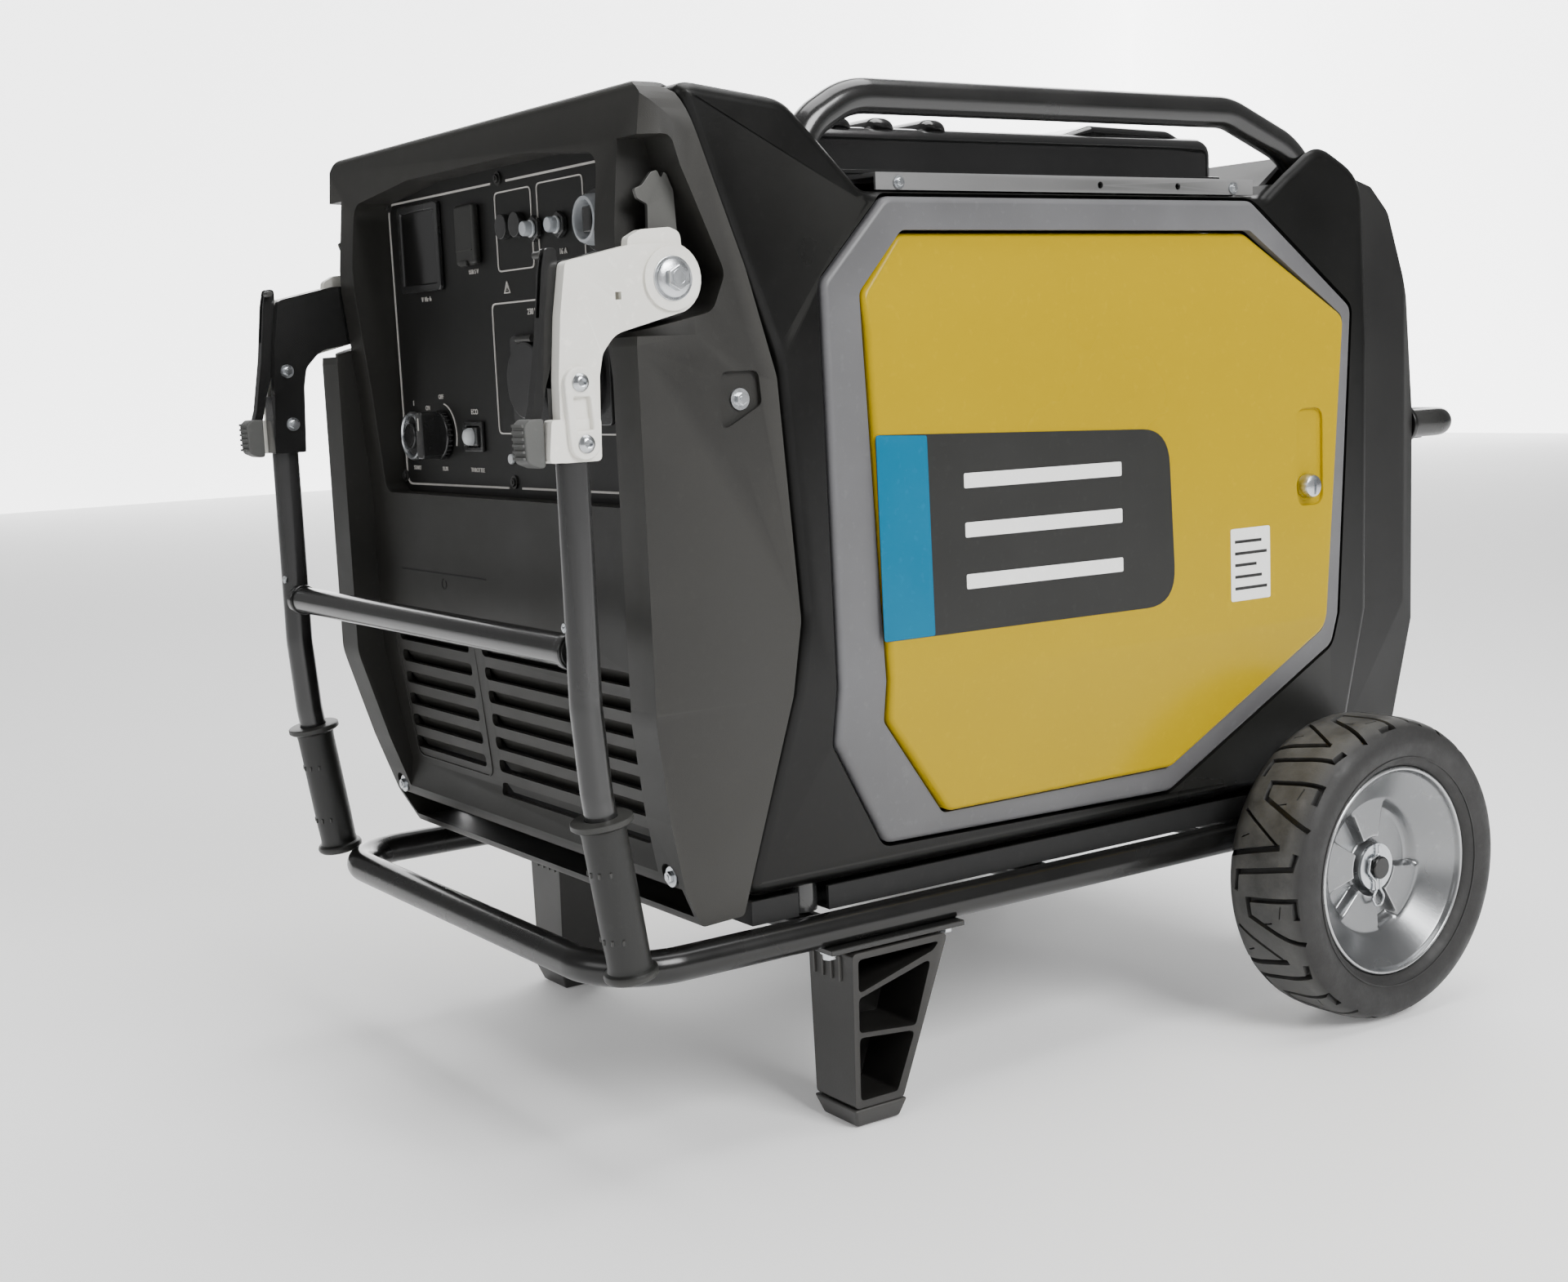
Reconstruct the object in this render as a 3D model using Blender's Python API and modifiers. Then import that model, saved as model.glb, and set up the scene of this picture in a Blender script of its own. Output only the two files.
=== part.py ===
"""Wheeled inverter generator: enclosed engine set in a tube frame, with folding front handles."""
import math

import bmesh
import bpy
from mathutils import Matrix, Vector

# ---------------------------------------------------------------- driving dimensions (metres)
GAP = 0.0003              # clearance between pieces that touch
TUBE_R = 0.0125           # frame and rail tube radius
BASE_Z = 0.153            # centreline height of the base loop
BASE_X = 0.240            # half spacing of the base loop
BASE_Y = (-0.419, 0.305)  # front and rear centrelines of the base loop
HOOP_X = 0.2475           # side hoop centreline
HOOP_LOW_X = 0.2165
HOOP_Y = (-0.246, 0.305)
BODY_X = 0.266            # half width over the side shrouds
COVER_X = 0.270           # half width of the front cover
SKIN = 0.004              # moulded wall thickness
WHEEL_Y, WHEEL_R = 0.265, 0.127
WHEEL_X = (0.267, 0.351)
AXLE_END = 0.329
RIM_R = 0.088
AXLE_R = 0.0095
PIVOT = (-0.362, 0.623)   # handle pivot, y and z
LEVER_PIVOT = (-0.4468, 0.640)
HANDLE_X = 0.256          # handle tube centreline
HANDLE_Y = -0.437
HANDLE_R = 0.0111
PANEL_Y = -0.350          # control panel face
HINGE = (0.285, -0.2035)  # door hinge axis, x and y
LATCH = (0.241, 0.446)    # door latch, y and z
SIDES = (("left", -1), ("right", 1))

# outlines as (y, z)
DOOR_YZ = ((-0.171, 0.653), (-0.209, 0.611), (-0.196, 0.305), (-0.132, 0.226),
           (0.101, 0.226), (0.264, 0.324), (0.287, 0.584), (0.179, 0.653))
SEAL_YZ = ((-0.185, 0.678), (-0.2415, 0.619), (-0.238, 0.293), (-0.183, 0.208),
           (0.110, 0.203), (0.282, 0.308), (0.3015, 0.592), (0.183, 0.678))
SHROUD_YZ = ((-0.344, 0.748), (-0.274, 0.573), (-0.265, 0.387), (-0.304, 0.186), (0.323, 0.186),
             (0.327, 0.560), (0.321, 0.700), (0.266, 0.727), (0.225, 0.700), (0.200, 0.682),
             (-0.200, 0.682), (-0.262, 0.738))


# ---------------------------------------------------------------- scene helpers
for old in list(bpy.data.objects):
    bpy.data.objects.remove(old, do_unlink=True)
scene = bpy.context.scene
parts = bpy.data.collections.new("inverter_generator")
cutters = bpy.data.collections.new("cutters")
scene.collection.children.link(parts)
scene.collection.children.link(cutters)


def material(name, colour, metallic=0.0, rough=0.5):
    mat = bpy.data.materials.new(name)
    mat.use_nodes = True
    shader = mat.node_tree.nodes["Principled BSDF"]
    shader.inputs["Base Color"].default_value = (*colour, 1.0)
    shader.inputs["Metallic"].default_value = metallic
    shader.inputs["Roughness"].default_value = rough
    mat.diffuse_color = (*colour, 1.0)
    return mat


PAINTS = {
    "frame_black": ((0.012, 0.012, 0.012), 0.0, 0.35),
    "cover_plastic": ((0.045, 0.044, 0.041), 0.0, 0.6),
    "shroud_plastic": ((0.012, 0.012, 0.012), 0.0, 0.4),
    "door_yellow": ((0.78, 0.52, 0.02), 0.0, 0.3),
    "seal_rubber": ((0.20, 0.20, 0.21), 0.0, 0.6),
    "bracket_ivory": ((0.78, 0.76, 0.70), 0.0, 0.4),
    "gloss_black": ((0.008, 0.008, 0.008), 0.0, 0.15),
    "grip_rubber": ((0.03, 0.03, 0.028), 0.0, 0.8),
    "tyre_rubber": ((0.04, 0.038, 0.036), 0.0, 0.85),
    "rim_silver": ((0.55, 0.56, 0.57), 1.0, 0.35),
    "zinc": ((0.70, 0.71, 0.72), 1.0, 0.3),
    "dark_steel": ((0.06, 0.06, 0.06), 1.0, 0.45),
    "cast_alloy": ((0.45, 0.45, 0.46), 1.0, 0.5),
    "leg_plastic": ((0.045, 0.043, 0.040), 0.0, 0.55),
    "clear_cap": ((0.75, 0.76, 0.78), 0.0, 0.3),
    "deck_grey": ((0.12, 0.12, 0.12), 0.0, 0.5),
}


def finish(obj, name, paint, pivot=None, smooth=35.0):
    """Name a node and give it its own material; a moving piece gets its origin on its axis."""
    if pivot is not None:
        obj.data.transform(Matrix.Translation(-Vector(pivot)))
        obj.location = pivot
    obj.name = name
    obj.data.name = name
    obj.data.materials.clear()
    obj.data.materials.append(material(name + "_mat", *PAINTS[paint]))
    bm = bmesh.new()
    bm.from_mesh(obj.data)
    bmesh.ops.recalc_face_normals(bm, faces=bm.faces[:])
    bm.to_mesh(obj.data)
    bm.free()
    for poly in obj.data.polygons:
        poly.use_smooth = True
    obj.data.set_sharp_from_angle(angle=math.radians(smooth))
    return obj


def add(mesh, where=None):
    obj = bpy.data.objects.new("piece", mesh)
    (where or parts).objects.link(obj)
    return obj


def box(low, high, bevel=0.0):
    bm = bmesh.new()
    bmesh.ops.create_cube(bm, size=1.0)
    for vert in bm.verts:
        for axis in range(3):
            vert.co[axis] = low[axis] if vert.co[axis] < 0 else high[axis]
    if bevel:
        bmesh.ops.bevel(bm, geom=bm.edges[:], offset=bevel, segments=2, profile=0.5, affect='EDGES')
    mesh = bpy.data.meshes.new("box")
    bm.to_mesh(mesh)
    bm.free()
    return add(mesh)


AXES = {
    "x": Matrix(((0, 0, 1), (1, 0, 0), (0, 1, 0))),
    "y": Matrix(((1, 0, 0), (0, 0, 1), (0, 1, 0))),
    "z": Matrix.Identity(3),
}


def cylinder(axis, centre, radius, low, high, count=24, radius_high=None):
    """Closed cylinder or cone; centre holds the two coordinates across the axis in x, y, z order."""
    bm = bmesh.new()
    bmesh.ops.create_cone(bm, cap_ends=True, segments=count, radius1=radius,
                          radius2=radius if radius_high is None else radius_high, depth=1.0)
    for vert in bm.verts:
        along = low if vert.co.z < 0 else high
        flat = Vector((centre[0] + vert.co.x, centre[1] + vert.co.y, along))
        vert.co = AXES[axis] @ flat
    mesh = bpy.data.meshes.new("cylinder")
    bm.to_mesh(mesh)
    bm.free()
    return add(mesh)


def prism(axis, outline, low, high):
    """Filled 2D curve pushed along an axis; outline holds the two cross coordinates."""
    curve = bpy.data.curves.new("outline", 'CURVE')
    curve.dimensions = '2D'
    curve.fill_mode = 'BOTH'
    curve.extrude = (high - low) / 2
    spline = curve.splines.new('POLY')
    spline.points.add(len(outline) - 1)
    for point, (first, second) in zip(spline.points, outline):
        point.co = (first, second, 0.0, 1.0)
    spline.use_cyclic_u = True
    holder = bpy.data.objects.new("holder", curve)
    mesh = bpy.data.meshes.new_from_object(holder)
    bpy.data.objects.remove(holder)
    bm = bmesh.new()
    bm.from_mesh(mesh)
    bmesh.ops.remove_doubles(bm, verts=bm.verts[:], dist=0.00002)
    bmesh.ops.dissolve_limit(bm, angle_limit=0.001, verts=bm.verts[:], edges=bm.edges[:])
    middle = (low + high) / 2
    for vert in bm.verts:
        vert.co = AXES[axis] @ Vector((vert.co.x, vert.co.y, vert.co.z + middle))
    bm.to_mesh(mesh)
    bm.free()
    return add(mesh)


def rounded(points, radius, steps=4):
    """Round the corners of a closed outline; radius is one value or one per corner."""
    count = len(points)
    radii = radius if isinstance(radius, (list, tuple)) else [radius] * count
    result = []
    for index, point in enumerate(points):
        here = Vector(point)
        before = (Vector(points[index - 1]) - here)
        after = (Vector(points[(index + 1) % count]) - here)
        bend = radii[index]
        if bend <= 0:
            result.append(tuple(here))
            continue
        angle = before.angle(after)
        reach = min(bend / math.tan(angle / 2), before.length * 0.48, after.length * 0.48)
        start = here + before.normalized() * reach
        end = here + after.normalized() * reach
        for step in range(steps + 1):
            part = step / steps
            mix = start * (1 - part) ** 2 + here * 2 * part * (1 - part) + end * part ** 2
            result.append(tuple(mix))
    return result


def inset(points, distance):
    """Move every side of a closed outline inwards; a negative distance grows it."""
    area = sum(a[0] * b[1] - b[0] * a[1] for a, b in zip(points, points[1:] + points[:1]))
    turn = 1.0 if area > 0 else -1.0
    count = len(points)
    result = []
    for index in range(count):
        a, b, c = (Vector(points[(index + k) % count]) for k in (-1, 0, 1))
        first, second = (b - a).normalized(), (c - b).normalized()
        n1 = Vector((-first.y, first.x)) * turn
        n2 = Vector((-second.y, second.x)) * turn
        both = (n1 + n2) / (1.0 + n1.dot(n2))
        result.append(tuple(b + both * distance))
    return result


def tube(points, radius, bends=0.0, cyclic=False, sides=4, steps=5):
    """Round tube along a polyline with rounded bends."""
    path = []
    count = len(points)
    for index, point in enumerate(points):
        here = Vector(point)
        if not cyclic and index in (0, count - 1):
            path.append(here)
            continue
        before = Vector(points[index - 1]) - here
        after = Vector(points[(index + 1) % count]) - here
        half = before.angle(after) / 2
        reach = min(bends / math.tan(half), before.length * 0.48, after.length * 0.48)
        bend = reach * math.tan(half)
        centre = here + (before.normalized() + after.normalized()).normalized() * (bend / math.sin(half))
        start = here + before.normalized() * reach - centre
        end = here + after.normalized() * reach - centre
        for step in range(steps + 1):
            path.append(centre + start.slerp(end, step / steps).normalized() * bend)
    curve = bpy.data.curves.new("path", 'CURVE')
    curve.dimensions = '3D'
    curve.bevel_depth = radius
    curve.bevel_resolution = sides
    curve.use_fill_caps = not cyclic
    spline = curve.splines.new('POLY')
    spline.points.add(len(path) - 1)
    for target, spot in zip(spline.points, path):
        target.co = (*spot, 1.0)
    spline.use_cyclic_u = cyclic
    holder = bpy.data.objects.new("holder", curve)
    mesh = bpy.data.meshes.new_from_object(holder)
    bpy.data.objects.remove(holder)
    bm = bmesh.new()
    bm.from_mesh(mesh)
    bmesh.ops.remove_doubles(bm, verts=bm.verts[:], dist=0.00002)
    bm.to_mesh(mesh)
    bm.free()
    return add(mesh)


def lathe(profile, centre, axis="x", count=32, sign=1):
    """Turn a closed (radius, along) profile about an axis through centre."""
    bm = bmesh.new()
    ring = [bm.verts.new((radius, 0.0, along)) for radius, along in profile]
    for index, vert in enumerate(ring):
        bm.edges.new((vert, ring[(index + 1) % len(ring)]))
    mesh = bpy.data.meshes.new("profile")
    bm.to_mesh(mesh)
    bm.free()
    holder = add(mesh)
    screw = holder.modifiers.new("turn", 'SCREW')
    screw.axis = 'Z'
    screw.steps = count
    screw.render_steps = count
    screw.use_merge_vertices = True
    screw.merge_threshold = 0.00002
    bpy.context.view_layer.update()
    graph = bpy.context.evaluated_depsgraph_get()
    turned = bpy.data.meshes.new_from_object(holder.evaluated_get(graph))
    bpy.data.objects.remove(holder)
    for vert in turned.vertices:
        spot = Vector((vert.co.x, vert.co.y, vert.co.z * sign))
        vert.co = AXES[axis] @ spot + Vector(centre)
    return add(turned)


def combine(target, others, operation):
    """Exact Boolean of one piece with others; the tools are used up."""
    for tool in others:
        for obj in (target, tool):
            bm = bmesh.new()
            bm.from_mesh(obj.data)
            bmesh.ops.recalc_face_normals(bm, faces=bm.faces[:])
            bm.to_mesh(obj.data)
            bm.free()
        step = target.modifiers.new("step", 'BOOLEAN')
        step.operation = operation
        step.solver = 'EXACT'
        step.object = tool
        bpy.context.view_layer.update()
        graph = bpy.context.evaluated_depsgraph_get()
        mesh = bpy.data.meshes.new_from_object(target.evaluated_get(graph))
        target.modifiers.clear()
        target.data = mesh
        bpy.data.objects.remove(tool, do_unlink=True)
    bm = bmesh.new()
    bm.from_mesh(target.data)
    bmesh.ops.remove_doubles(bm, verts=bm.verts[:], dist=0.00001)
    bmesh.ops.dissolve_limit(bm, angle_limit=0.002, verts=bm.verts[:], edges=bm.edges[:])
    bm.to_mesh(target.data)
    bm.free()
    return target


def cut(target, *tools):
    return combine(target, tools, 'DIFFERENCE')


def join(target, *tools):
    return combine(target, tools, 'UNION')


def common(target, *tools):
    return combine(target, tools, 'INTERSECT')


def span(a, b):
    return (min(a, b), max(a, b))


def side_prism(sign, outline, near, far):
    """Outline in (y, z) between two distances from the middle plane, on one side."""
    low, high = span(sign * near, sign * far)
    return prism("x", outline, low, high)


def side_box(sign, near, far, y, z, bevel=0.0):
    low, high = span(sign * near, sign * far)
    return box((low, y[0], z[0]), (high, y[1], z[1]), bevel)


def side_cylinder(sign, centre, radius, near, far, count=24):
    low, high = span(sign * near, sign * far)
    return cylinder("x", centre, radius, low, high, count)


# ---------------------------------------------------------------- tube frame, axle and legs
def build_base_frame():
    loop = [(-BASE_X, BASE_Y[0], BASE_Z), (BASE_X, BASE_Y[0], BASE_Z),
            (BASE_X, BASE_Y[1], BASE_Z), (-BASE_X, BASE_Y[1], BASE_Z)]
    frame = tube(loop, TUBE_R, bends=0.055, cyclic=True)
    bars = [cylinder("x", (y, BASE_Z - 0.0003), 0.010, -BASE_X + 0.003, BASE_X - 0.003, 12)
            for y in (-0.2403, -0.0204, 0.2153)]
    plates = [box((min(s * 0.196, s * 0.2545), -0.232, 0.1355), (max(s * 0.196, s * 0.2545), -0.136, 0.1415))
              for s in (-1, 1)]
    hangers = []
    for sign in (-1, 1):
        outline = ((0.238, 0.158), (0.238, 0.122), (0.252, 0.108),
                   (0.278, 0.108), (0.292, 0.122), (0.292, 0.158))
        hangers.append(side_prism(sign, outline, 0.2330, 0.2385))
    join(frame, *bars, *plates, *hangers)
    cut(frame, cylinder("x", (WHEEL_Y, WHEEL_R), AXLE_R + GAP, -0.30, 0.30, 20))
    finish(frame, "base_frame", "frame_black")


def build_axle():
    finish(cylinder("x", (WHEEL_Y, WHEEL_R), AXLE_R, -AXLE_END, AXLE_END, 20), "axle", "frame_black")


def build_legs():
    for side, sign in SIDES:
        outline = ((-0.2285, 0.1352), (-0.2285, 0.016), (-0.184, 0.016), (-0.1395, 0.1352))
        leg = side_prism(sign, outline, 0.199, 0.2555)
        pockets = (
            ((-0.2235, 0.130), (-0.2235, 0.1045), (-0.1545, 0.124), (-0.1475, 0.130)),
            ((-0.2235, 0.1005), (-0.2235, 0.0745), (-0.1715, 0.0695), (-0.156, 0.1180)),
            ((-0.2235, 0.0705), (-0.2235, 0.022), (-0.1895, 0.022), (-0.1725, 0.0655)),
        )
        for pocket in pockets:
            cut(leg, side_prism(sign, pocket, 0.2035, 0.270))
        finish(leg, side + "_leg", "leg_plastic")
        foot = side_box(sign, 0.197, 0.2575, (-0.2305, -0.181), (0.0, 0.0157), 0.003)
        finish(foot, side + "_foot", "grip_rubber")


def build_hoops():
    for side, sign in SIDES:
        x = sign * HOOP_X
        foot = BASE_Z + TUBE_R + GAP
        low = sign * HOOP_LOW_X
        points = [(low, HOOP_Y[0], foot), (low, HOOP_Y[0], 0.192),
                  (x, HOOP_Y[0], WAIST_Z), (x, HOOP_Y[0], 0.722),
                  (x, -0.200, 0.749), (x, 0.176, 0.749), (x, 0.245, 0.722), (x, HOOP_Y[1], 0.655),
                  (x, HOOP_Y[1], WAIST_Z), (low, HOOP_Y[1], 0.192), (low, HOOP_Y[1], foot)]
        finish(tube(points, TUBE_R, bends=0.05, steps=4), side + "_hoop", "gloss_black")


def build_base_tray():
    bottom = BASE_Z + TUBE_R + GAP
    tray = box((-0.234, -0.300, bottom), (0.234, 0.322, 0.1835))
    cut(tray, box((-0.231, -0.297, bottom + 0.003), (0.231, 0.319, 0.20)))
    notches = [side_box(s, 0.2025, 0.25, (y - TUBE_R - 0.001, y + TUBE_R + 0.001), (0.15, 0.20))
               for s in (-1, 1) for y in HOOP_Y]
    cut(tray, *notches)
    finish(tray, "base_tray", "deck_grey")


# ---------------------------------------------------------------- moulded covers
WAIST_Z = 0.335
MIDDLE_YZ = ((-0.3660, 0.198), (-0.3570, 0.240), (-0.3685, 0.350), (-0.3685, 0.470), (-0.3760, 0.560),
             (-0.3840, 0.640), (-0.3840, 0.700), (-0.3760, 0.760))
COVER_SIDE = ((-0.350, 0.178), (-0.362, 0.205), (-0.376, 0.256), (-0.3925, 0.330), (-0.3925, 0.580),
              (-0.376, 0.752), (-0.3475, 0.752), (-0.2785, 0.573), (-0.2695, 0.387), (-0.3085, 0.180))
POCKET_YZ = ((-0.410, 0.716), (-0.359, 0.716), (-0.353, 0.696), (-0.322, 0.626), (-0.333, 0.601),
             (-0.410, 0.584))


def flank(offset):
    """Half of the body's front-view outline; below the waist the sides lean inwards."""
    slope = 0.2114
    side = BODY_X + offset
    return [(side, 0.80), (side, WAIST_Z), (side - slope * (WAIST_Z - 0.10), 0.10)]


def flank_block(offset, low, high):
    """Solid between the two leaning sides, from low to high in y."""
    half = flank(offset)
    return prism("y", half + [(-x, z) for x, z in reversed(half)], low, high)


def build_front_cover():
    body = prism("x", COVER_SIDE, -COVER_X, COVER_X)
    common(body, flank_block(COVER_X - BODY_X, -0.45, -0.20))
    front = [(-0.270, 0.16), (0.270, 0.16), (0.270, 0.70), (0.255, 0.751), (0.10, 0.757),
             (-0.10, 0.757), (-0.255, 0.751), (-0.270, 0.70)]
    common(body, prism("y", front, -0.45, -0.20))
    plan_low = rounded([(-0.270, -0.3925), (0.270, -0.3925), (0.270, -0.2), (-0.270, -0.2)],
                       [0.012, 0.012, 0, 0], 2)
    plan_high = [(-0.236, -0.3925), (0.236, -0.3925), (0.270, -0.352), (0.270, -0.2), (-0.270, -0.2),
                 (-0.270, -0.352)]
    keep = prism("z", plan_low, 0.15, 0.586)
    join(keep, prism("z", plan_high, 0.5855, 0.80))
    common(body, keep)
    hollow = prism("x", inset(COVER_SIDE, SKIN), -COVER_X + SKIN, COVER_X - SKIN)
    rear_open = ((-0.36, 0.182), (-0.36, 0.30), (-0.33, 0.60),
                 (-0.3725, 0.748), (-0.30, 0.748), (-0.20, 0.57),
                 (-0.20, 0.182))
    join(hollow, prism("x", rear_open, -COVER_X + SKIN, COVER_X - SKIN))
    inner_plan = [(-0.2335, -0.3895), (0.2335, -0.3895), (0.266, -0.350), (0.266, -0.1), (-0.266, -0.1),
                  (-0.266, -0.350)]
    common(hollow, prism("z", inner_plan, 0.1, 0.748))
    common(hollow, flank_block(COVER_X - BODY_X - SKIN, -0.45, -0.10))
    # the sunken control recess and the sunken middle face push the hollow back
    cut(hollow, box((-0.2125, -0.45, 0.4685), (0.2125, PANEL_Y + GAP, 0.7215)))
    middle = [(y + SKIN, z) for y, z in MIDDLE_YZ]
    behind = [(-0.46, 0.15), (middle[0][0], 0.15)] + middle + [(-0.46, middle[-1][1])]
    cut(hollow, prism("x", behind, -0.2395, 0.2395))
    for sign in (-1, 1):
        cut(hollow, side_prism(sign, inset(list(POCKET_YZ), -SKIN), 0.2315, 0.30))
    cut(body, hollow)
    for sign in (-1, 1):
        cut(body, side_prism(sign, POCKET_YZ, 0.2355, 0.30))
    cut(body, box((-0.2085, -0.45, 0.4725), (0.2085, -0.30, 0.7175)))
    face = [(-0.46, MIDDLE_YZ[0][1])] + list(MIDDLE_YZ) + [(-0.46, MIDDLE_YZ[-1][1])]
    sunken = prism("x", face, -0.2355, 0.2355)
    common(sunken, flank_block(-0.0305, -0.47, -0.20))
    cut(body, sunken)
    slots = []
    for row in range(6):
        z = 0.240 + row * 0.020
        for low, high in ((-0.205, -0.060), (-0.040, 0.205)):
            slots.append(box((low, -0.40, z), (high, -0.345, z + 0.009)))
    cut(body, *slots)
    finish(body, "front_cover", "cover_plastic")


def build_control_panel():
    panel = box((-0.2155, PANEL_Y + GAP, 0.4655), (0.2155, PANEL_Y + 0.0035, 0.7245))
    holes = [cylinder("y", spot, radius, -0.36, -0.33, 16) for spot, radius in (
        (START, 0.0115), (BREAKERS[0], 0.0062), (BREAKERS[1], 0.0062), (MAIN, 0.0185))]
    holes.append(box((ECO[0] - 0.0128, -0.36, ECO[1] - 0.0085), (ECO[0] + 0.0128, -0.33, ECO[1] + 0.0085)))
    cut(panel, *holes)
    finish(panel, "control_panel", "shroud_plastic")


START = (-0.180, 0.517)
ENGINE_SWITCH = (-0.125, 0.518)
ECO = (-0.064, 0.517)
BREAKERS = ((0.060, 0.671), (0.099, 0.671))
MAIN = (0.158, 0.670)
OUTLETS = ((0.045, 0.560), (0.130, 0.560))


def build_panel_parts():
    y = PANEL_Y
    button = cylinder("y", START, 0.011, y - 0.006, y + 0.010, 20)
    finish(button, "start_button", "gloss_black", (START[0], y, START[1]))
    knob = cylinder("y", ENGINE_SWITCH, 0.0165, y - 0.006, y - GAP, 24)
    grip = box((ENGINE_SWITCH[0] - 0.0055, y - 0.022, ENGINE_SWITCH[1] - 0.0155),
               (ENGINE_SWITCH[0] + 0.0055, y - 0.004, ENGINE_SWITCH[1] + 0.0155))
    join(knob, grip)
    finish(knob, "engine_switch_knob", "gloss_black", (ENGINE_SWITCH[0], y, ENGINE_SWITCH[1]))
    rocker = box((ECO[0] - 0.011, y - 0.005, ECO[1] - 0.0075),
                 (ECO[0] + 0.011, y + 0.006, ECO[1] + 0.0075), 0.001)
    finish(rocker, "eco_switch", "gloss_black", (ECO[0], y, ECO[1]))
    for index, spot in enumerate(BREAKERS):
        push = cylinder("y", spot, 0.0058, y - 0.016, y + 0.010, 16)
        finish(push, "breaker_button_%d" % (index + 1), "clear_cap", (spot[0], y, spot[1]))
    main = cylinder("y", MAIN, 0.018, y - 0.014, y + 0.010, 24)
    finish(main, "main_breaker", "clear_cap", (MAIN[0], y, MAIN[1]))
    for index, (x, z) in enumerate(OUTLETS):
        base = cylinder("y", (x, z), 0.029, y - 0.010, y - GAP, 24)
        cut(base, cylinder("y", (x, z), 0.0195, y - 0.02, y - 0.0020, 20))
        finish(base, "ac_outlet_%d" % (index + 1), "gloss_black")
    display = box((-0.181, y - 0.0025, 0.635), (-0.104, y - GAP, 0.706), 0.0008)
    finish(display, "display_window", "gloss_black")


def build_shrouds():
    for side, sign in SIDES:
        outline = list(SHROUD_YZ)
        outer = rounded(outline, [0.004, 0, 0, 0.004, 0.004, 0, 0.022, 0.012, 0.01, 0, 0.01, 0.02], 3)
        shell = side_prism(sign, outer, 0.2275, BODY_X)
        common(shell, flank_block(0.0, -0.40, 0.40))
        hollow = side_prism(sign, inset(outline, SKIN), 0.20, BODY_X - 0.0045)
        common(hollow, flank_block(-0.0045, -0.40, 0.40))
        cut(shell, hollow)
        cut(shell, side_prism(sign, inset(list(SEAL_YZ), -GAP), 0.20, 0.30))
        for y in HOOP_Y:
            cut(shell, side_box(sign, 0.20, 0.2302, (y - 0.0135, y + 0.0135), (0.18, 0.197)))
        # openings for the hoop tube where it leaves and enters the pillars
        cut(shell, side_box(sign, 0.20, 0.262, (-0.236, 0.240), (0.70, 0.76)))
        cut(shell, side_prism(sign, ((-0.275, 0.70), (-0.275, 0.76), (-0.19, 0.80),
                                     (-0.19, 0.715), (-0.225, 0.700)),
                              0.2275, 0.2615))
        cut(shell, side_prism(sign, ((0.16, 0.78), (0.16, 0.715), (0.225, 0.700),
                                     (0.295, 0.675), (0.295, 0.78)),
                              0.2275, 0.2615))
        finish(shell, side + "_shroud", "shroud_plastic")


def build_seals():
    for side, sign in SIDES:
        ring = side_prism(sign, SEAL_YZ, 0.22, 0.2685)
        common(ring, flank_block(0.0025, -0.40, 0.40))
        cut(ring, flank_block(-0.0048, -0.40, 0.40))
        cut(ring, side_prism(sign, inset(list(DOOR_YZ), -0.0015), 0.20, 0.30))
        finish(ring, side + "_door_seal", "seal_rubber")


def build_doors():
    back = 0.2565
    outer = ((0.2525, 0.226), (0.2735, 0.337), (0.2735, 0.585), (0.2640, 0.653))
    for side, sign in SIDES:
        section = [(sign * x, z) for x, z in outer]
        section += [(sign * back, 0.653), (sign * back, 0.337), (sign * 0.2355, 0.226)]
        pan = prism("y", section, -0.25, 0.33)
        common(pan, side_prism(sign, rounded(list(DOOR_YZ), 0.012, 3), 0.20, 0.32))
        inner = [(sign * (x - SKIN), z) for x, z in outer] + [(sign * 0.20, 0.653), (sign * 0.20, 0.226)]
        hollow = prism("y", inner, -0.25, 0.33)
        common(hollow, side_prism(sign, inset(list(DOOR_YZ), SKIN), 0.19, 0.33))
        cut(pan, hollow)
        cut(pan, side_cylinder(sign, LATCH, 0.0045, 0.20, 0.32, 12))
        finish(pan, side + "_door", "door_yellow", (sign * HINGE[0], HINGE[1], 0.44))
        knob = side_cylinder(sign, LATCH, 0.009, 0.2735 + GAP, 0.2815, 20)
        join(knob, side_cylinder(sign, LATCH, 0.0042, 0.2645, 0.2755, 12))
        finish(knob, side + "_door_knob", "zinc", (sign * 0.2735, *LATCH))


def build_rear_cover():
    outline = [(0.3275, 0.700), (0.352, 0.693), (0.374, 0.672), (0.400, 0.600), (0.4115, 0.500),
               (0.4075, 0.225), (0.396, 0.186), (0.3275, 0.186)]
    shell = prism("x", outline, -0.246, 0.246)
    plan = [(-0.246, 0.30), (-0.246, 0.395), (-0.232, 0.45), (0.232, 0.45), (0.246, 0.395), (0.246, 0.30)]
    common(shell, prism("z", plan, 0.1, 0.8))
    common(shell, flank_block(-0.0200, 0.20, 0.45))
    inner = inset(outline, SKIN)
    inner[0] = (0.32, inner[0][1])
    inner[-1] = (0.32, inner[-1][1])
    hollow = prism("x", inner, -0.246 + SKIN, 0.246 - SKIN)
    plan_in = [(-0.242, 0.30), (-0.242, 0.394), (-0.229, 0.446),
               (0.229, 0.446), (0.242, 0.394), (0.242, 0.30)]
    common(hollow, prism("z", plan_in, 0.1, 0.8))
    common(hollow, flank_block(-0.0240, 0.20, 0.45))
    cut(shell, hollow)
    slots = [box((-0.17, 0.38, 0.54 + 0.022 * row), (0.03, 0.43, 0.55 + 0.022 * row)) for row in range(4)]
    cut(shell, *slots)
    cut(shell, cylinder("y", (-0.13, 0.30), 0.027, 0.35, 0.45, 24))
    finish(shell, "rear_cover", "cover_plastic")


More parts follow.
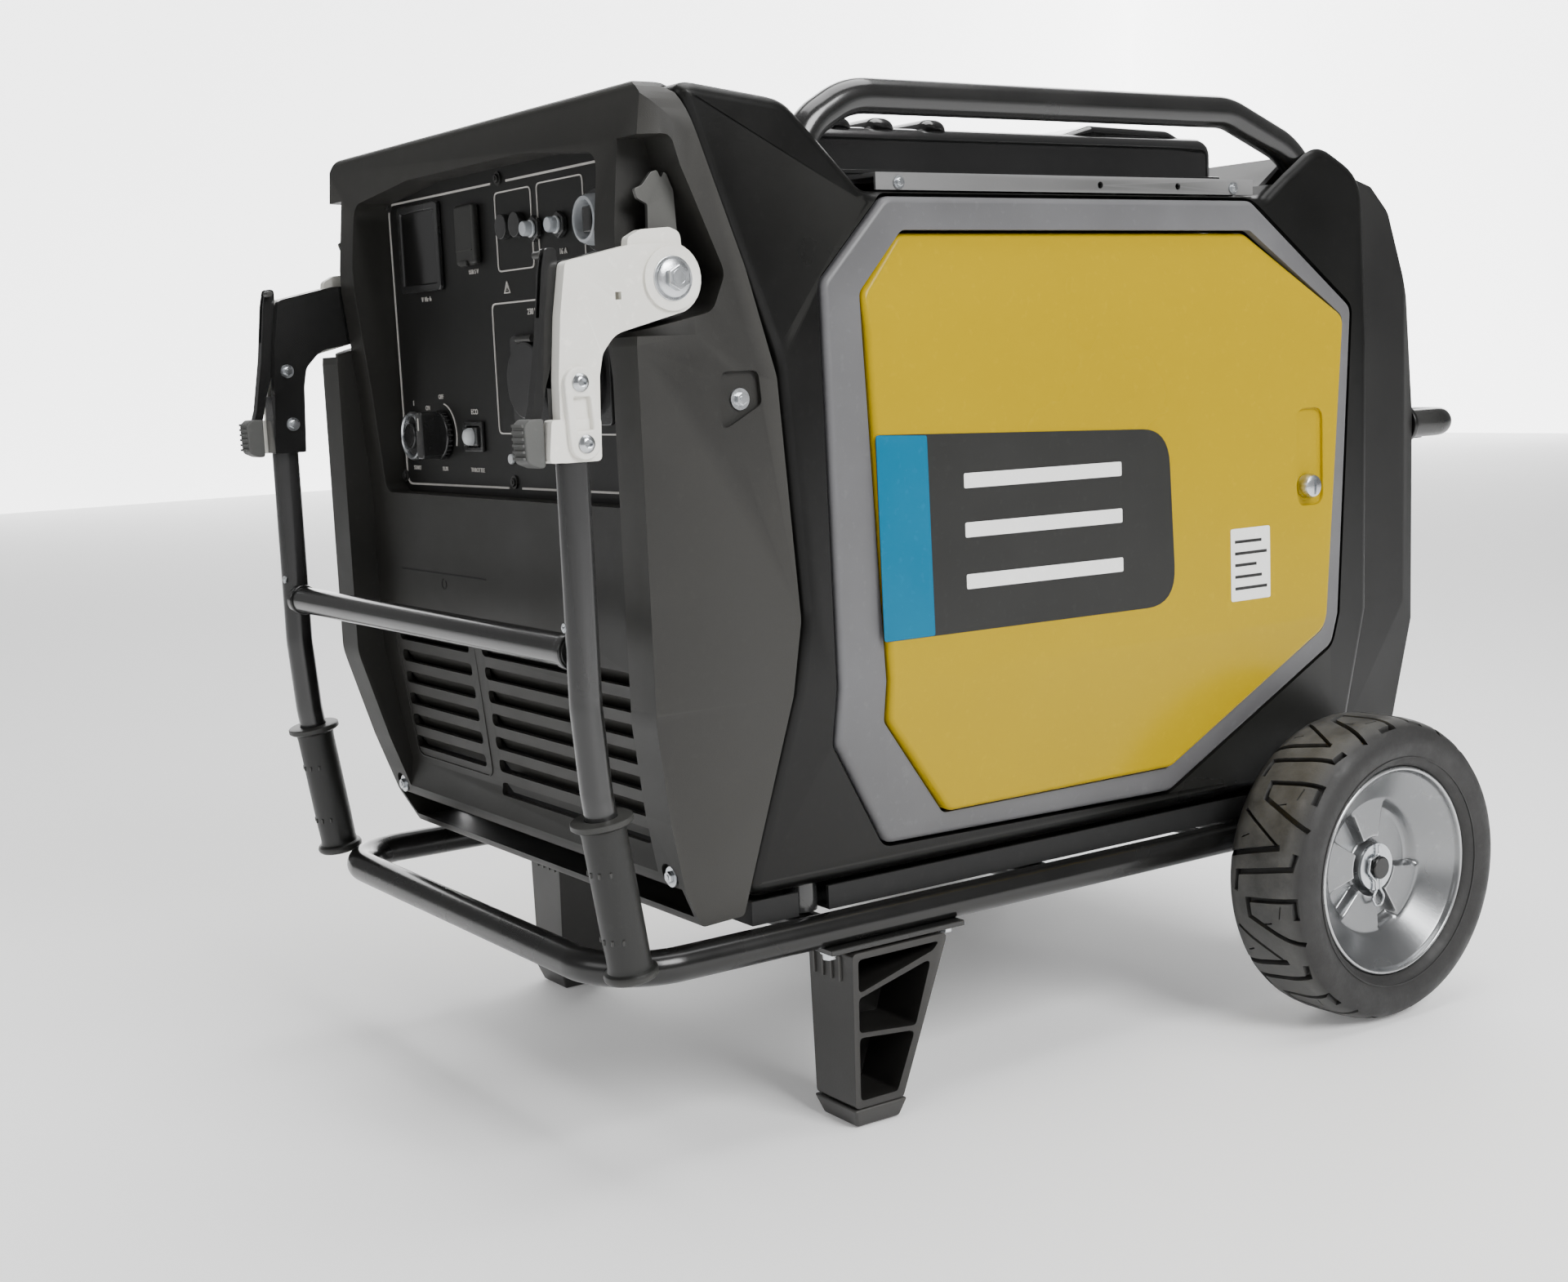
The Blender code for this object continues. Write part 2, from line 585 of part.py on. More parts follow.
def build_rear_handle():
    z = 0.488
    handle_line = [(-0.228, 0.4165, z), (-0.228, 0.4665, z), (0.228, 0.4665, z), (0.228, 0.4165, z)]
    handle = tube(handle_line, TUBE_R, bends=0.018)
    flanges = [cylinder("y", (s * 0.228, z), 0.0165, 0.4125, 0.4175, 20) for s in (-1, 1)]
    join(handle, *flanges)
    finish(handle, "rear_handle", "frame_black")


def build_top():
    tank = box((-0.222, -0.222, 0.600), (0.222, 0.212, 0.734), 0.012)
    join(tank, box((-0.205, 0.02, 0.72), (0.205, 0.195, 0.742), 0.008))
    join(tank, cylinder("z", (0.0, -0.06), 0.036, 0.72, 0.7385, 24))
    finish(tank, "fuel_tank", "gloss_black")
    cap = cylinder("z", (0.0, -0.06), 0.034, 0.7388, 0.757, 24)
    join(cap, box((-0.030, -0.0635, 0.750), (0.030, -0.0565, 0.761)))
    finish(cap, "fuel_cap", "gloss_black", (0.0, -0.06, 0.7388))
    deck = box((-0.2270, -0.2440, 0.6906), (0.2270, 0.250, 0.6936))
    cut(deck, box((-0.2235, -0.2235, 0.68), (0.2235, 0.2135, 0.71)))
    flanges = [side_box(s, 0.2240, 0.2585, (-0.1850, 0.1950), (0.6910, 0.6955)) for s in (-1, 1)]
    flanges += [side_box(s, 0.2560, 0.2585, (-0.1850, 0.1950), (0.6832, 0.6950)) for s in (-1, 1)]
    front = prism("x", ((-0.342, 0.7465), (-0.264, 0.7370), (-0.2300, 0.6936),
                        (-0.2300, 0.6906), (-0.2660, 0.7335),
                        (-0.342, 0.7435)), -0.2270, 0.2270)
    rear = prism("x", ((0.2350, 0.6936), (0.2680, 0.7180), (0.3240, 0.6990),
                       (0.3240, 0.6960), (0.2680, 0.7145),
                       (0.2380, 0.6906)), -0.2270, 0.2270)
    join(deck, *flanges, front, rear)
    finish(deck, "top_deck", "deck_grey")


# ---------------------------------------------------------------- machinery inside the covers
def build_machinery():
    engine = box((-0.120, -0.030, 0.190), (0.110, 0.180, 0.400), 0.010)
    join(engine, box((-0.080, 0.010, 0.395), (0.060, 0.150, 0.520), 0.006))
    join(engine, box((-0.090, 0.000, 0.515), (0.070, 0.160, 0.560), 0.008))
    cut(engine, cylinder("y", (0.0, 0.290), 0.0125, -0.06, 0.12, 20))
    finish(engine, "engine_block", "cast_alloy")
    stator_ring = [(0.0955, -0.040), (0.104, -0.040), (0.104, 0.040), (0.0955, 0.040)]
    stator = lathe(stator_ring, (0.0, -0.085, 0.290), "y", 32)
    finish(stator, "alternator_stator", "cast_alloy")
    rotor = cylinder("y", (0.0, 0.290), 0.093, -0.122, -0.048, 32)
    join(rotor, cylinder("y", (0.0, 0.290), 0.0120, -0.06, 0.10, 20))
    join(rotor, cylinder("y", (0.0, 0.290), 0.055, -0.150, -0.118, 24, 0.062))
    finish(rotor, "flywheel_rotor", "dark_steel", (0.0, -0.085, 0.290))
    muffler = box((-0.190, 0.215, 0.215), (-0.060, 0.300, 0.385), 0.022)
    join(muffler, cylinder("y", (-0.13, 0.30), 0.022, 0.28, 0.404, 20))
    cut(muffler, cylinder("y", (-0.13, 0.30), 0.018, 0.31, 0.45, 20))
    finish(muffler, "muffler", "dark_steel")
    finish(box((0.075, 0.185, 0.420), (0.205, 0.290, 0.570), 0.012), "air_cleaner", "gloss_black")
    battery = box((-0.205, -0.240, 0.190), (-0.125, -0.075, 0.330), 0.003)
    join(battery, *[cylinder("z", (-0.165, y), 0.008, 0.32, 0.342, 12) for y in (-0.215, -0.100)])
    finish(battery, "battery", "gloss_black")
    inverter = box((-0.180, -0.300, 0.400), (0.180, -0.262, 0.580))
    fins = [box((-0.180 + 0.036 * k, -0.265, 0.405), (-0.174 + 0.036 * k, -0.235, 0.575)) for k in range(11)]
    join(inverter, *fins)
    finish(inverter, "inverter_unit", "cast_alloy")


# ---------------------------------------------------------------- folding handles
def arc(centre, radius, start, end, steps):
    return [(centre[0] + radius * math.cos(math.radians(start + (end - start) * k / steps)),
             centre[1] + radius * math.sin(math.radians(start + (end - start) * k / steps)))
            for k in range(steps + 1)]


def bracket_outline(shrink=0.0):
    round_end = arc(PIVOT, 0.023 - shrink, -70, 100, 8)
    rest = [(-0.392, 0.6445), (-0.4415, 0.634), (-0.4480, 0.600), (-0.4545, 0.507), (-0.4205, 0.507),
            (-0.4195, 0.562), (-0.4170, 0.574), (-0.408, 0.583)]
    return round_end + rest


def build_handles():
    for side, sign in SIDES:
        outer = side_prism(sign, bracket_outline(), 0.2560, 0.2665)
        join(outer, side_cylinder(sign, PIVOT, 0.0205, 0.262, 0.2690, 24))
        join(outer, side_box(sign, 0.2560, 0.2665, (-0.385, -0.352), (0.640, 0.652)))
        join(outer, side_box(sign, 0.2560, 0.2700, (-0.4540, -0.4210), (0.5073, 0.5350)))
        cut(outer, side_cylinder(sign, PIVOT, 0.0065, 0.20, 0.30, 20))
        finish(outer, side + "_bracket_outer", "bracket_ivory", (0.0, *PIVOT))
        inner = side_prism(sign, bracket_outline(), 0.2385, 0.2470)
        join(inner, side_box(sign, 0.2385, 0.2557, (-0.4520, -0.4215), (0.5073, 0.5550)))
        cut(inner, side_cylinder(sign, PIVOT, 0.0065, 0.20, 0.30, 20))
        finish(inner, side + "_bracket_inner", "gloss_black", (0.0, *PIVOT))
        x = sign * HANDLE_X
        bend, low = Vector((x, -0.4325, 0.285)), Vector((x, -0.4130, 0.1565))
        leg_line = [(x, HANDLE_Y, 0.5070 - GAP), (x, HANDLE_Y, 0.345), tuple(bend), tuple(low)]
        leg = tube(leg_line, HANDLE_R, bends=0.06)
        finish(leg, side + "_handle_tube", "gloss_black", (0.0, *PIVOT))
        lean = (bend - low).normalized()
        slope = math.atan2(-lean.y, lean.z)
        low = low + lean * 0.001
        length = 0.1140
        profile = [(HANDLE_R + GAP, 0.0), (0.0185, 0.0), (0.0190, 0.005),
                   (0.0155, 0.006), (0.0155, length - 0.005),
                   (0.0215, length - 0.004), (0.0215, length), (HANDLE_R + GAP, length)]
        grip = lathe(profile, (0, 0, 0), "z", 20)
        grip.data.transform(Matrix.Translation(low) @ Matrix.Rotation(slope, 4, 'X'))
        finish(grip, side + "_grip", "grip_rubber", (0.0, *PIVOT))
        plate_outline = ((-0.372, 0.603), (-0.352, 0.603), (-0.3465, 0.640), (-0.3485, 0.681),
                         (-0.3530, 0.6915), (-0.3552, 0.6935), (-0.3575, 0.6885), (-0.3605, 0.6945),
                         (-0.3652, 0.6930), (-0.3725, 0.6845), (-0.3785, 0.6820), (-0.3765, 0.6760),
                         (-0.3690, 0.6720), (-0.3700, 0.640))
        plate = side_prism(sign, plate_outline, 0.2495, 0.2530)
        cut(plate, side_cylinder(sign, PIVOT, 0.0063, 0.20, 0.30, 20))
        finish(plate, side + "_lock_plate", "dark_steel")
        bolt = side_cylinder(sign, PIVOT, 0.0060, 0.2358, 0.2740, 20)
        join(bolt, side_cylinder(sign, PIVOT, 0.0130, 0.2693, 0.2715, 20))
        join(bolt, side_cylinder(sign, PIVOT, 0.0085, 0.2712, 0.2770, 6))
        finish(bolt, side + "_pivot_bolt", "zinc")
        lever_outline = ((-0.4400, 0.6440), (-0.4475, 0.6440), (-0.4500, 0.6300), (-0.4545, 0.5860),
                         (-0.4610, 0.5440), (-0.4640, 0.5360), (-0.4640, 0.5300), (-0.4595, 0.5300),
                         (-0.4570, 0.5380), (-0.4528, 0.5560), (-0.4480, 0.5700), (-0.4440, 0.6000),
                         (-0.4400, 0.6350))
        lever = side_prism(sign, lever_outline, 0.2473, 0.2557)
        join(lever, side_box(sign, 0.2440, 0.2620, (-0.4765, -0.4585), (0.5045, 0.5360), 0.0015))
        # the forked top passes either side of the lock plate when the handle is raised
        cut(lever, side_box(sign, 0.2490, 0.2535, (-0.50, -0.40), (0.600, 0.66)))
        finish(lever, side + "_release_lever", "grip_rubber", (x, *LEVER_PIVOT))
    half = HANDLE_X - HANDLE_R - 2 * GAP
    bar = cylinder("x", (HANDLE_Y, 0.3815), HANDLE_R, -half, half, 16)
    finish(bar, "handle_crossbar", "gloss_black", (0.0, *PIVOT))


# ---------------------------------------------------------------- wheels
def build_wheels():
    width = WHEEL_X[1] - WHEEL_X[0]
    for side, sign in SIDES:
        centre = (sign * WHEEL_X[0], WHEEL_Y, WHEEL_R)
        tread = [(RIM_R, 0.010), (0.094, 0.004), (0.105, 0.0), (0.1185, 0.0040),
                 (0.1245, 0.013), (0.127, 0.024),
                 (0.127, width - 0.024), (0.1245, width - 0.013), (0.1185, width - 0.0040), (0.105, width),
                 (0.094, width - 0.004), (RIM_R, width - 0.010)]
        finish(lathe(tread, centre, "x", 44, sign), side + "_tyre", "tyre_rubber", centre)
        edge = RIM_R - GAP
        rim = [(AXLE_R + GAP, 0.002), (0.019, 0.002), (0.019, 0.020), (0.055, 0.026),
               (0.078, 0.014), (edge, 0.012),
               (edge, 0.0735), (0.084, 0.0755), (0.082, 0.0720), (0.072, 0.067),
               (0.056, 0.046), (0.034, 0.042),
               (0.019, 0.046), (0.019, 0.0535), (AXLE_R + GAP, 0.0535)]
        finish(lathe(rim, centre, "x", 32, sign), side + "_rim", "rim_silver", centre)


build_base_frame()
build_axle()
build_legs()
build_hoops()
build_base_tray()
build_front_cover()
build_control_panel()
build_panel_parts()
build_shrouds()
build_seals()
build_doors()
build_rear_cover()
build_rear_handle()
build_top()
build_machinery()
build_handles()
build_wheels()
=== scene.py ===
"""Looks of the wheeled inverter generator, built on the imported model."""
import math

import bmesh
import bpy
from mathutils import Matrix, Vector


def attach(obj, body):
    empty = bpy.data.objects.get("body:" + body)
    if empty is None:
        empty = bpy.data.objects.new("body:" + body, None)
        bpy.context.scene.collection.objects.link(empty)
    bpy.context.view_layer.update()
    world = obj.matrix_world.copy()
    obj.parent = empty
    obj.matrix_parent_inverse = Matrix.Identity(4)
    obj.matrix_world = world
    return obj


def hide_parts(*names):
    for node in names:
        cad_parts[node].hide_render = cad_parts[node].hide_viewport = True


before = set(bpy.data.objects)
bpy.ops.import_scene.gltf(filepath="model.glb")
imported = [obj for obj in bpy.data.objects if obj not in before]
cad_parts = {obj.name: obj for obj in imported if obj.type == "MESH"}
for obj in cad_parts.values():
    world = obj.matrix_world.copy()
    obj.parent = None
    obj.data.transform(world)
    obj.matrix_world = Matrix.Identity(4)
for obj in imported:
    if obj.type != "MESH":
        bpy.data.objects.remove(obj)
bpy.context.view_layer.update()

# ---------------------------------------------------------------- shared sizes, metres
TUBE_R = 0.0125
BASE_Z = 0.153
BASE_X = 0.240
BASE_Y = (-0.419, 0.305)
HOOP_X = 0.2475
HOOP_LOW_X = 0.2165
HOOP_Y = (-0.246, 0.305)
WAIST_Z = 0.335
WHEEL_Y, WHEEL_R = 0.265, 0.127
WHEEL_X = (0.267, 0.351)
AXLE_END = 0.329
PIVOT = (-0.362, 0.623)
LEVER_PIVOT = (-0.4468, 0.640)
HANDLE_X = 0.256
HANDLE_Y = -0.437
HANDLE_R = 0.0111
PANEL_Y = -0.350
LATCH = (0.241, 0.446)
START = (-0.180, 0.517)
ENGINE_SWITCH = (-0.125, 0.518)
ECO = (-0.064, 0.517)
BREAKERS = ((0.060, 0.671), (0.099, 0.671))
MAIN = (0.158, 0.670)
OUTLETS = ((0.045, 0.560), (0.130, 0.560))
SIDES = (("left", -1), ("right", 1))
DOOR_YZ = ((-0.171, 0.653), (-0.209, 0.611), (-0.196, 0.305), (-0.132, 0.226),
           (0.101, 0.226), (0.264, 0.324), (0.287, 0.584), (0.179, 0.653))
SEAL_YZ = ((-0.185, 0.678), (-0.2415, 0.619), (-0.238, 0.293), (-0.183, 0.208),
           (0.110, 0.203), (0.282, 0.308), (0.3015, 0.592), (0.183, 0.678))
SHROUD_YZ = ((-0.354, 0.7530), (-0.281, 0.568), (-0.2675, 0.387), (-0.305, 0.186), (0.323, 0.186),
             (0.327, 0.560), (0.321, 0.700), (0.266, 0.727), (0.225, 0.700), (0.200, 0.682),
             (-0.200, 0.682), (-0.264, 0.7425))

# ---------------------------------------------------------------- camera
camera = bpy.data.objects.new("camera", bpy.data.cameras.new("camera"))
bpy.context.scene.collection.objects.link(camera)
camera.data.sensor_width = 36.0
camera.data.lens = 47.04
camera.data.clip_start = 0.05
RIGHT = Vector((0.56320, 0.82529, -0.04182))
UP = Vector((-0.08771, 0.11002, 0.99011))
AHEAD = Vector((-0.82168, 0.55393, -0.13435))
camera.matrix_world = Matrix.Translation((1.4354, -1.0725, 0.5649)) @ Matrix(
    (RIGHT, UP, -AHEAD)).transposed().to_4x4()
bpy.context.scene.camera = camera


# ---------------------------------------------------------------- materials
def nodes_of(name):
    mat = bpy.data.materials.new(name)
    mat.use_nodes = True
    tree = mat.node_tree
    return mat, tree, tree.nodes["Principled BSDF"]


def noise(tree, scale, detail=3.0, rough=0.55, stretch=None):
    coord = tree.nodes.new("ShaderNodeTexCoord")
    tex = tree.nodes.new("ShaderNodeTexNoise")
    tex.inputs["Scale"].default_value = scale
    tex.inputs["Detail"].default_value = detail
    tex.inputs["Roughness"].default_value = rough
    if stretch:
        mapping = tree.nodes.new("ShaderNodeMapping")
        mapping.inputs["Scale"].default_value = stretch
        tree.links.new(coord.outputs["Object"], mapping.inputs["Vector"])
        tree.links.new(mapping.outputs["Vector"], tex.inputs["Vector"])
    else:
        tree.links.new(coord.outputs["Object"], tex.inputs["Vector"])
    return tex.outputs["Fac"]


def spread(tree, source, low, high, start=0.35, end=0.65):
    ramp = tree.nodes.new("ShaderNodeMapRange")
    ramp.inputs["From Min"].default_value = start
    ramp.inputs["From Max"].default_value = end
    ramp.inputs["To Min"].default_value = low
    ramp.inputs["To Max"].default_value = high
    tree.links.new(source, ramp.inputs["Value"])
    return ramp.outputs["Result"]


def blend_colour(tree, source, first, second, start=0.35, end=0.65):
    ramp = tree.nodes.new("ShaderNodeValToRGB")
    ramp.color_ramp.elements[0].position = start
    ramp.color_ramp.elements[1].position = end
    ramp.color_ramp.elements[0].color = (*first, 1.0)
    ramp.color_ramp.elements[1].color = (*second, 1.0)
    tree.links.new(source, ramp.inputs["Fac"])
    return ramp.outputs["Color"]


def mix_colour(tree, factor, first, second):
    mix = tree.nodes.new("ShaderNodeMix")
    mix.data_type = 'RGBA'
    tree.links.new(factor, mix.inputs["Factor"])
    for socket, value in ((mix.inputs["A"], first), (mix.inputs["B"], second)):
        if isinstance(value, tuple):
            socket.default_value = (*value, 1.0)
        else:
            tree.links.new(value, socket)
    return mix.outputs["Result"]


def worn_edges(tree, start=0.52, end=0.60):
    geometry = tree.nodes.new("ShaderNodeNewGeometry")
    return spread(tree, geometry.outputs["Pointiness"], 0.0, 1.0, start, end)


def bump(tree, shader, layers):
    """Stack bump layers, each (height socket, strength, distance)."""
    normal = None
    for height, strength, distance in layers:
        node = tree.nodes.new("ShaderNodeBump")
        node.inputs["Strength"].default_value = strength
        node.inputs["Distance"].default_value = distance
        tree.links.new(height, node.inputs["Height"])
        if normal is not None:
            tree.links.new(normal, node.inputs["Normal"])
        normal = node.outputs["Normal"]
    tree.links.new(normal, shader.inputs["Normal"])


def surface(name, base, second, rough, metallic=0.0, grain=900.0, grain_strength=0.15, blotch=9.0,
            coat=0.0, wear=None, stretch=None, specular=0.5, waves=0.0):
    """Two-tone surface with fine grain, broad mottling and brighter worn edges."""
    mat, tree, shader = nodes_of(name)
    broad = noise(tree, blotch, 4.0)
    fine = noise(tree, grain, 2.0, 0.6, stretch)
    colour = blend_colour(tree, broad, base, second, 0.3, 0.7)
    speck = noise(tree, 160.0, 2.0)
    colour = mix_colour(tree, spread(tree, speck, 0.0, 0.35, 0.6, 0.75), colour,
                        tuple(min(1.0, c * 1.25 + 0.004) for c in second))
    if wear:
        colour = mix_colour(tree, worn_edges(tree), colour, wear)
    tree.links.new(colour, shader.inputs["Base Color"])
    tree.links.new(spread(tree, broad, rough[0], rough[1], 0.3, 0.7), shader.inputs["Roughness"])
    shader.inputs["Metallic"].default_value = metallic
    shader.inputs["Specular IOR Level"].default_value = specular
    if coat:
        shader.inputs["Coat Weight"].default_value = coat
        shader.inputs["Coat Roughness"].default_value = 0.12
    layers = [(fine, grain_strength, 0.0004)]
    if waves:
        layers.append((noise(tree, 22.0, 2.0), waves, 0.002))
    bump(tree, shader, layers)
    return mat


MAT = {
    "cover": surface("cover_moulding", (0.0105, 0.0101, 0.0088), (0.0155, 0.0149, 0.0130), (0.40, 0.54),
                     grain=1400.0, grain_strength=0.28, wear=(0.032, 0.031, 0.028), specular=0.36),
    "shroud": surface("shroud_moulding", (0.0022, 0.0022, 0.0020), (0.0036, 0.0036, 0.0033), (0.26, 0.38),
                      grain=1200.0, grain_strength=0.16, wear=(0.014, 0.014, 0.013), waves=0.05, specular=0.24),
    "rear": surface("rear_moulding", (0.0060, 0.0058, 0.0056), (0.0095, 0.0093, 0.0088), (0.42, 0.56),
                    grain=1300.0, grain_strength=0.25, wear=(0.028, 0.028, 0.027), specular=0.32),
    "panel": surface("panel_film", (0.0055, 0.0055, 0.0051), (0.0078, 0.0078, 0.0073), (0.40, 0.52), specular=0.35,
                     grain=2200.0, grain_strength=0.10),
    "door": surface("door_paint", (0.385, 0.262, 0.0001), (0.365, 0.247, 0.0001), (0.22, 0.30), coat=0.04, specular=0.14,
                    grain=320.0, grain_strength=0.035, waves=0.03, blotch=5.0),
    "seal": surface("seal_rubber", (0.070, 0.069, 0.072), (0.098, 0.098, 0.102), (0.42, 0.58),
                    grain=900.0, grain_strength=0.12, wear=(0.22, 0.22, 0.23)),
    "ivory": surface("ivory_casting", (0.74, 0.725, 0.665), (0.80, 0.785, 0.73), (0.34, 0.48),
                     grain=700.0, grain_strength=0.10, wear=(0.86, 0.85, 0.80), blotch=14.0),
    "black": surface("gloss_enamel", (0.006, 0.006, 0.006), (0.010, 0.010, 0.0095), (0.16, 0.28), coat=0.35,
                     grain=420.0, grain_strength=0.05, wear=(0.03, 0.03, 0.03)),
    "frame": surface("frame_enamel", (0.0040, 0.0040, 0.0038), (0.0068, 0.0066, 0.0063), (0.20, 0.34), coat=0.15,
                     grain=500.0, grain_strength=0.07, wear=(0.024, 0.024, 0.023), specular=0.40),
    "grip": surface("grip_moulding", (0.0080, 0.0082, 0.0074), (0.0130, 0.0132, 0.0120), (0.34, 0.50),
                    grain=900.0, grain_strength=0.2, wear=(0.040, 0.040, 0.037), specular=0.42),
    "pad": surface("pad_rubber", (0.060, 0.061, 0.058), (0.085, 0.086, 0.082), (0.55, 0.70),
                   grain=900.0, grain_strength=0.25),
    "rim": surface("rim_silver", (0.20, 0.205, 0.21), (0.26, 0.265, 0.27), (0.22, 0.34), metallic=0.85,
                   grain=650.0, grain_strength=0.05, wear=(0.75, 0.76, 0.77)),
    "zinc": surface("bright_zinc", (0.50, 0.52, 0.54), (0.64, 0.66, 0.68), (0.20, 0.38), metallic=1.0,
                    grain=900.0, grain_strength=0.12, blotch=60.0),
    "steel": surface("dark_steel", (0.045, 0.045, 0.043), (0.070, 0.069, 0.066), (0.36, 0.52), metallic=0.6,
                     grain=800.0, grain_strength=0.12, wear=(0.16, 0.16, 0.15)),
    "alloy": surface("cast_alloy", (0.30, 0.30, 0.30), (0.42, 0.42, 0.42), (0.45, 0.62), metallic=0.9,
                     grain=500.0, grain_strength=0.4, wear=(0.6, 0.6, 0.6)),
    "leg": surface("leg_moulding", (0.0075, 0.0072, 0.0066), (0.0125, 0.0119, 0.0110), (0.34, 0.50),
                   grain=1000.0, grain_strength=0.22, wear=(0.060, 0.058, 0.055), specular=0.40),
    "deck": surface("deck_grey", (0.040, 0.040, 0.039), (0.056, 0.056, 0.054), (0.45, 0.60),
                    grain=900.0, grain_strength=0.15, wear=(0.2, 0.2, 0.2)),
    "tank": surface("tank_gloss", (0.005, 0.005, 0.005), (0.009, 0.009, 0.009), (0.08, 0.18), coat=0.6,
                    grain=260.0, grain_strength=0.04),
    "button": surface("button_gloss", (0.008, 0.008, 0.008), (0.014, 0.014, 0.014), (0.18, 0.30), coat=0.3,
                      grain=900.0, grain_strength=0.06, wear=(0.04, 0.04, 0.04)),
    "print": surface("panel_print", (0.48, 0.46, 0.43), (0.58, 0.56, 0.53), (0.45, 0.55),
                     grain=1500.0, grain_strength=0.08, blotch=60.0),
    "decal": surface("decal_grey", (0.0215, 0.0215, 0.0205), (0.0250, 0.0250, 0.0238), (0.32, 0.40),
                     grain=700.0, grain_strength=0.03, specular=0.20),
    "cyan": surface("decal_cyan", (0.0001, 0.118, 0.220), (0.0001, 0.130, 0.238), (0.28, 0.36),
                    grain=700.0, grain_strength=0.03, specular=0.15),
    "white": surface("decal_white", (0.82, 0.82, 0.80), (0.87, 0.87, 0.85), (0.32, 0.42),
                     grain=700.0, grain_strength=0.03),
    "glass": surface("display_glass", (0.0015, 0.0015, 0.0015), (0.003, 0.003, 0.003), (0.10, 0.18), coat=0.5,
                     grain=300.0, grain_strength=0.01),
    "dark": surface("deep_dark", (0.004, 0.004, 0.004), (0.007, 0.007, 0.007), (0.65, 0.80),
                    grain=700.0, grain_strength=0.1),
    "bulb": surface("pale_plastic", (0.50, 0.52, 0.53), (0.60, 0.62, 0.63), (0.25, 0.35),
                    grain=700.0, grain_strength=0.05),
}


def tyre_material():
    """Rubber with dusty specks and a darker side wall; the tread is painted paler as a painted highlight of the lit
    tread and shoulder.
    """
    mat, tree, shader = nodes_of("tyre_compound")
    broad = noise(tree, 14.0, 5.0)
    dust_and_sheen = noise(tree, 48.0, 6.0, 0.7)
    coord = tree.nodes.new("ShaderNodeTexCoord")
    flat = tree.nodes.new("ShaderNodeMapping")
    flat.vector_type = 'TEXTURE'
    flat.inputs["Location"].default_value = (0.0, WHEEL_Y, WHEEL_R)
    tree.links.new(coord.outputs["Object"], flat.inputs["Vector"])
    squash = tree.nodes.new("ShaderNodeMapping")
    squash.inputs["Scale"].default_value = (0.0, 1.0, 1.0)
    tree.links.new(flat.outputs["Vector"], squash.inputs["Vector"])
    reach = tree.nodes.new("ShaderNodeVectorMath")
    reach.operation = 'LENGTH'
    tree.links.new(squash.outputs["Vector"], reach.inputs[0])
    # painted highlight: a radial mask makes the tread band paler than the side wall, standing in for light on the tread
    # and shoulder
    tread = spread(tree, reach.outputs["Value"], 0.0, 1.0, 0.1205, 0.1255)
    side_tone = blend_colour(tree, broad, (0.0105, 0.0102, 0.0100), (0.0165, 0.0160, 0.0155), 0.3, 0.7)
    # paler tread colour of the painted highlight, varied by the same noise that gives the dusty specks
    tread_highlight_tone = blend_colour(tree, dust_and_sheen, (0.034, 0.0338, 0.0325), (0.078, 0.0775, 0.0745), 0.35, 0.68)
    colour = mix_colour(tree, tread, side_tone, tread_highlight_tone)
    colour = mix_colour(tree, spread(tree, dust_and_sheen, 0.0, 0.4, 0.60, 0.80), colour, (0.080, 0.079, 0.075))
    tree.links.new(colour, shader.inputs["Base Color"])
    tree.links.new(spread(tree, dust_and_sheen, 0.48, 0.74, 0.3, 0.7), shader.inputs["Roughness"])
    bump(tree, shader, [(noise(tree, 700.0, 2.0), 0.25, 0.0005), (dust_and_sheen, 0.10, 0.001)])
    return mat


def clear_material():
    mat, tree, shader = nodes_of("clear_boot")
    broad = noise(tree, 90.0, 3.0)
    tree.links.new(blend_colour(tree, broad, (0.70, 0.74, 0.78), (0.84, 0.87, 0.90), 0.3, 0.7),
                   shader.inputs["Base Color"])
    tree.links.new(spread(tree, broad, 0.12, 0.24, 0.3, 0.7), shader.inputs["Roughness"])
    shader.inputs["Transmission Weight"].default_value = 0.55
    shader.inputs["IOR"].default_value = 1.45
    bump(tree, shader, [(noise(tree, 500.0, 2.0), 0.06, 0.0004)])
    return mat


MAT["tyre"] = tyre_material()
MAT["clear"] = clear_material()

# ---------------------------------------------------------------- mesh helpers
pieces = bpy.data.collections.new("looks")
bpy.context.scene.collection.children.link(pieces)
AXES = {
    "x": Matrix(((0, 0, 1), (1, 0, 0), (0, 1, 0))),
    "y": Matrix(((1, 0, 0), (0, 0, 1), (0, 1, 0))),
    "z": Matrix.Identity(3),
}


def add(mesh):
    obj = bpy.data.objects.new("piece", mesh)
    pieces.objects.link(obj)
    return obj


def from_bm(bm, name="shape"):
    mesh = bpy.data.meshes.new(name)
    bmesh.ops.recalc_face_normals(bm, faces=bm.faces[:])
    bm.to_mesh(mesh)
    bm.free()
    return add(mesh)


def box(low, high):
    bm = bmesh.new()
    bmesh.ops.create_cube(bm, size=1.0)
    for vert in bm.verts:
        for axis in range(3):
            vert.co[axis] = low[axis] if vert.co[axis] < 0 else high[axis]
    return from_bm(bm)


def cylinder(axis, centre, radius, low, high, count=48, radius_high=None):
    bm = bmesh.new()
    bmesh.ops.create_cone(bm, cap_ends=True, segments=count, radius1=radius,
                          radius2=radius if radius_high is None else radius_high, depth=1.0)
    for vert in bm.verts:
        along = low if vert.co.z < 0 else high
        vert.co = AXES[axis] @ Vector((centre[0] + vert.co.x, centre[1] + vert.co.y, along))
    return from_bm(bm)


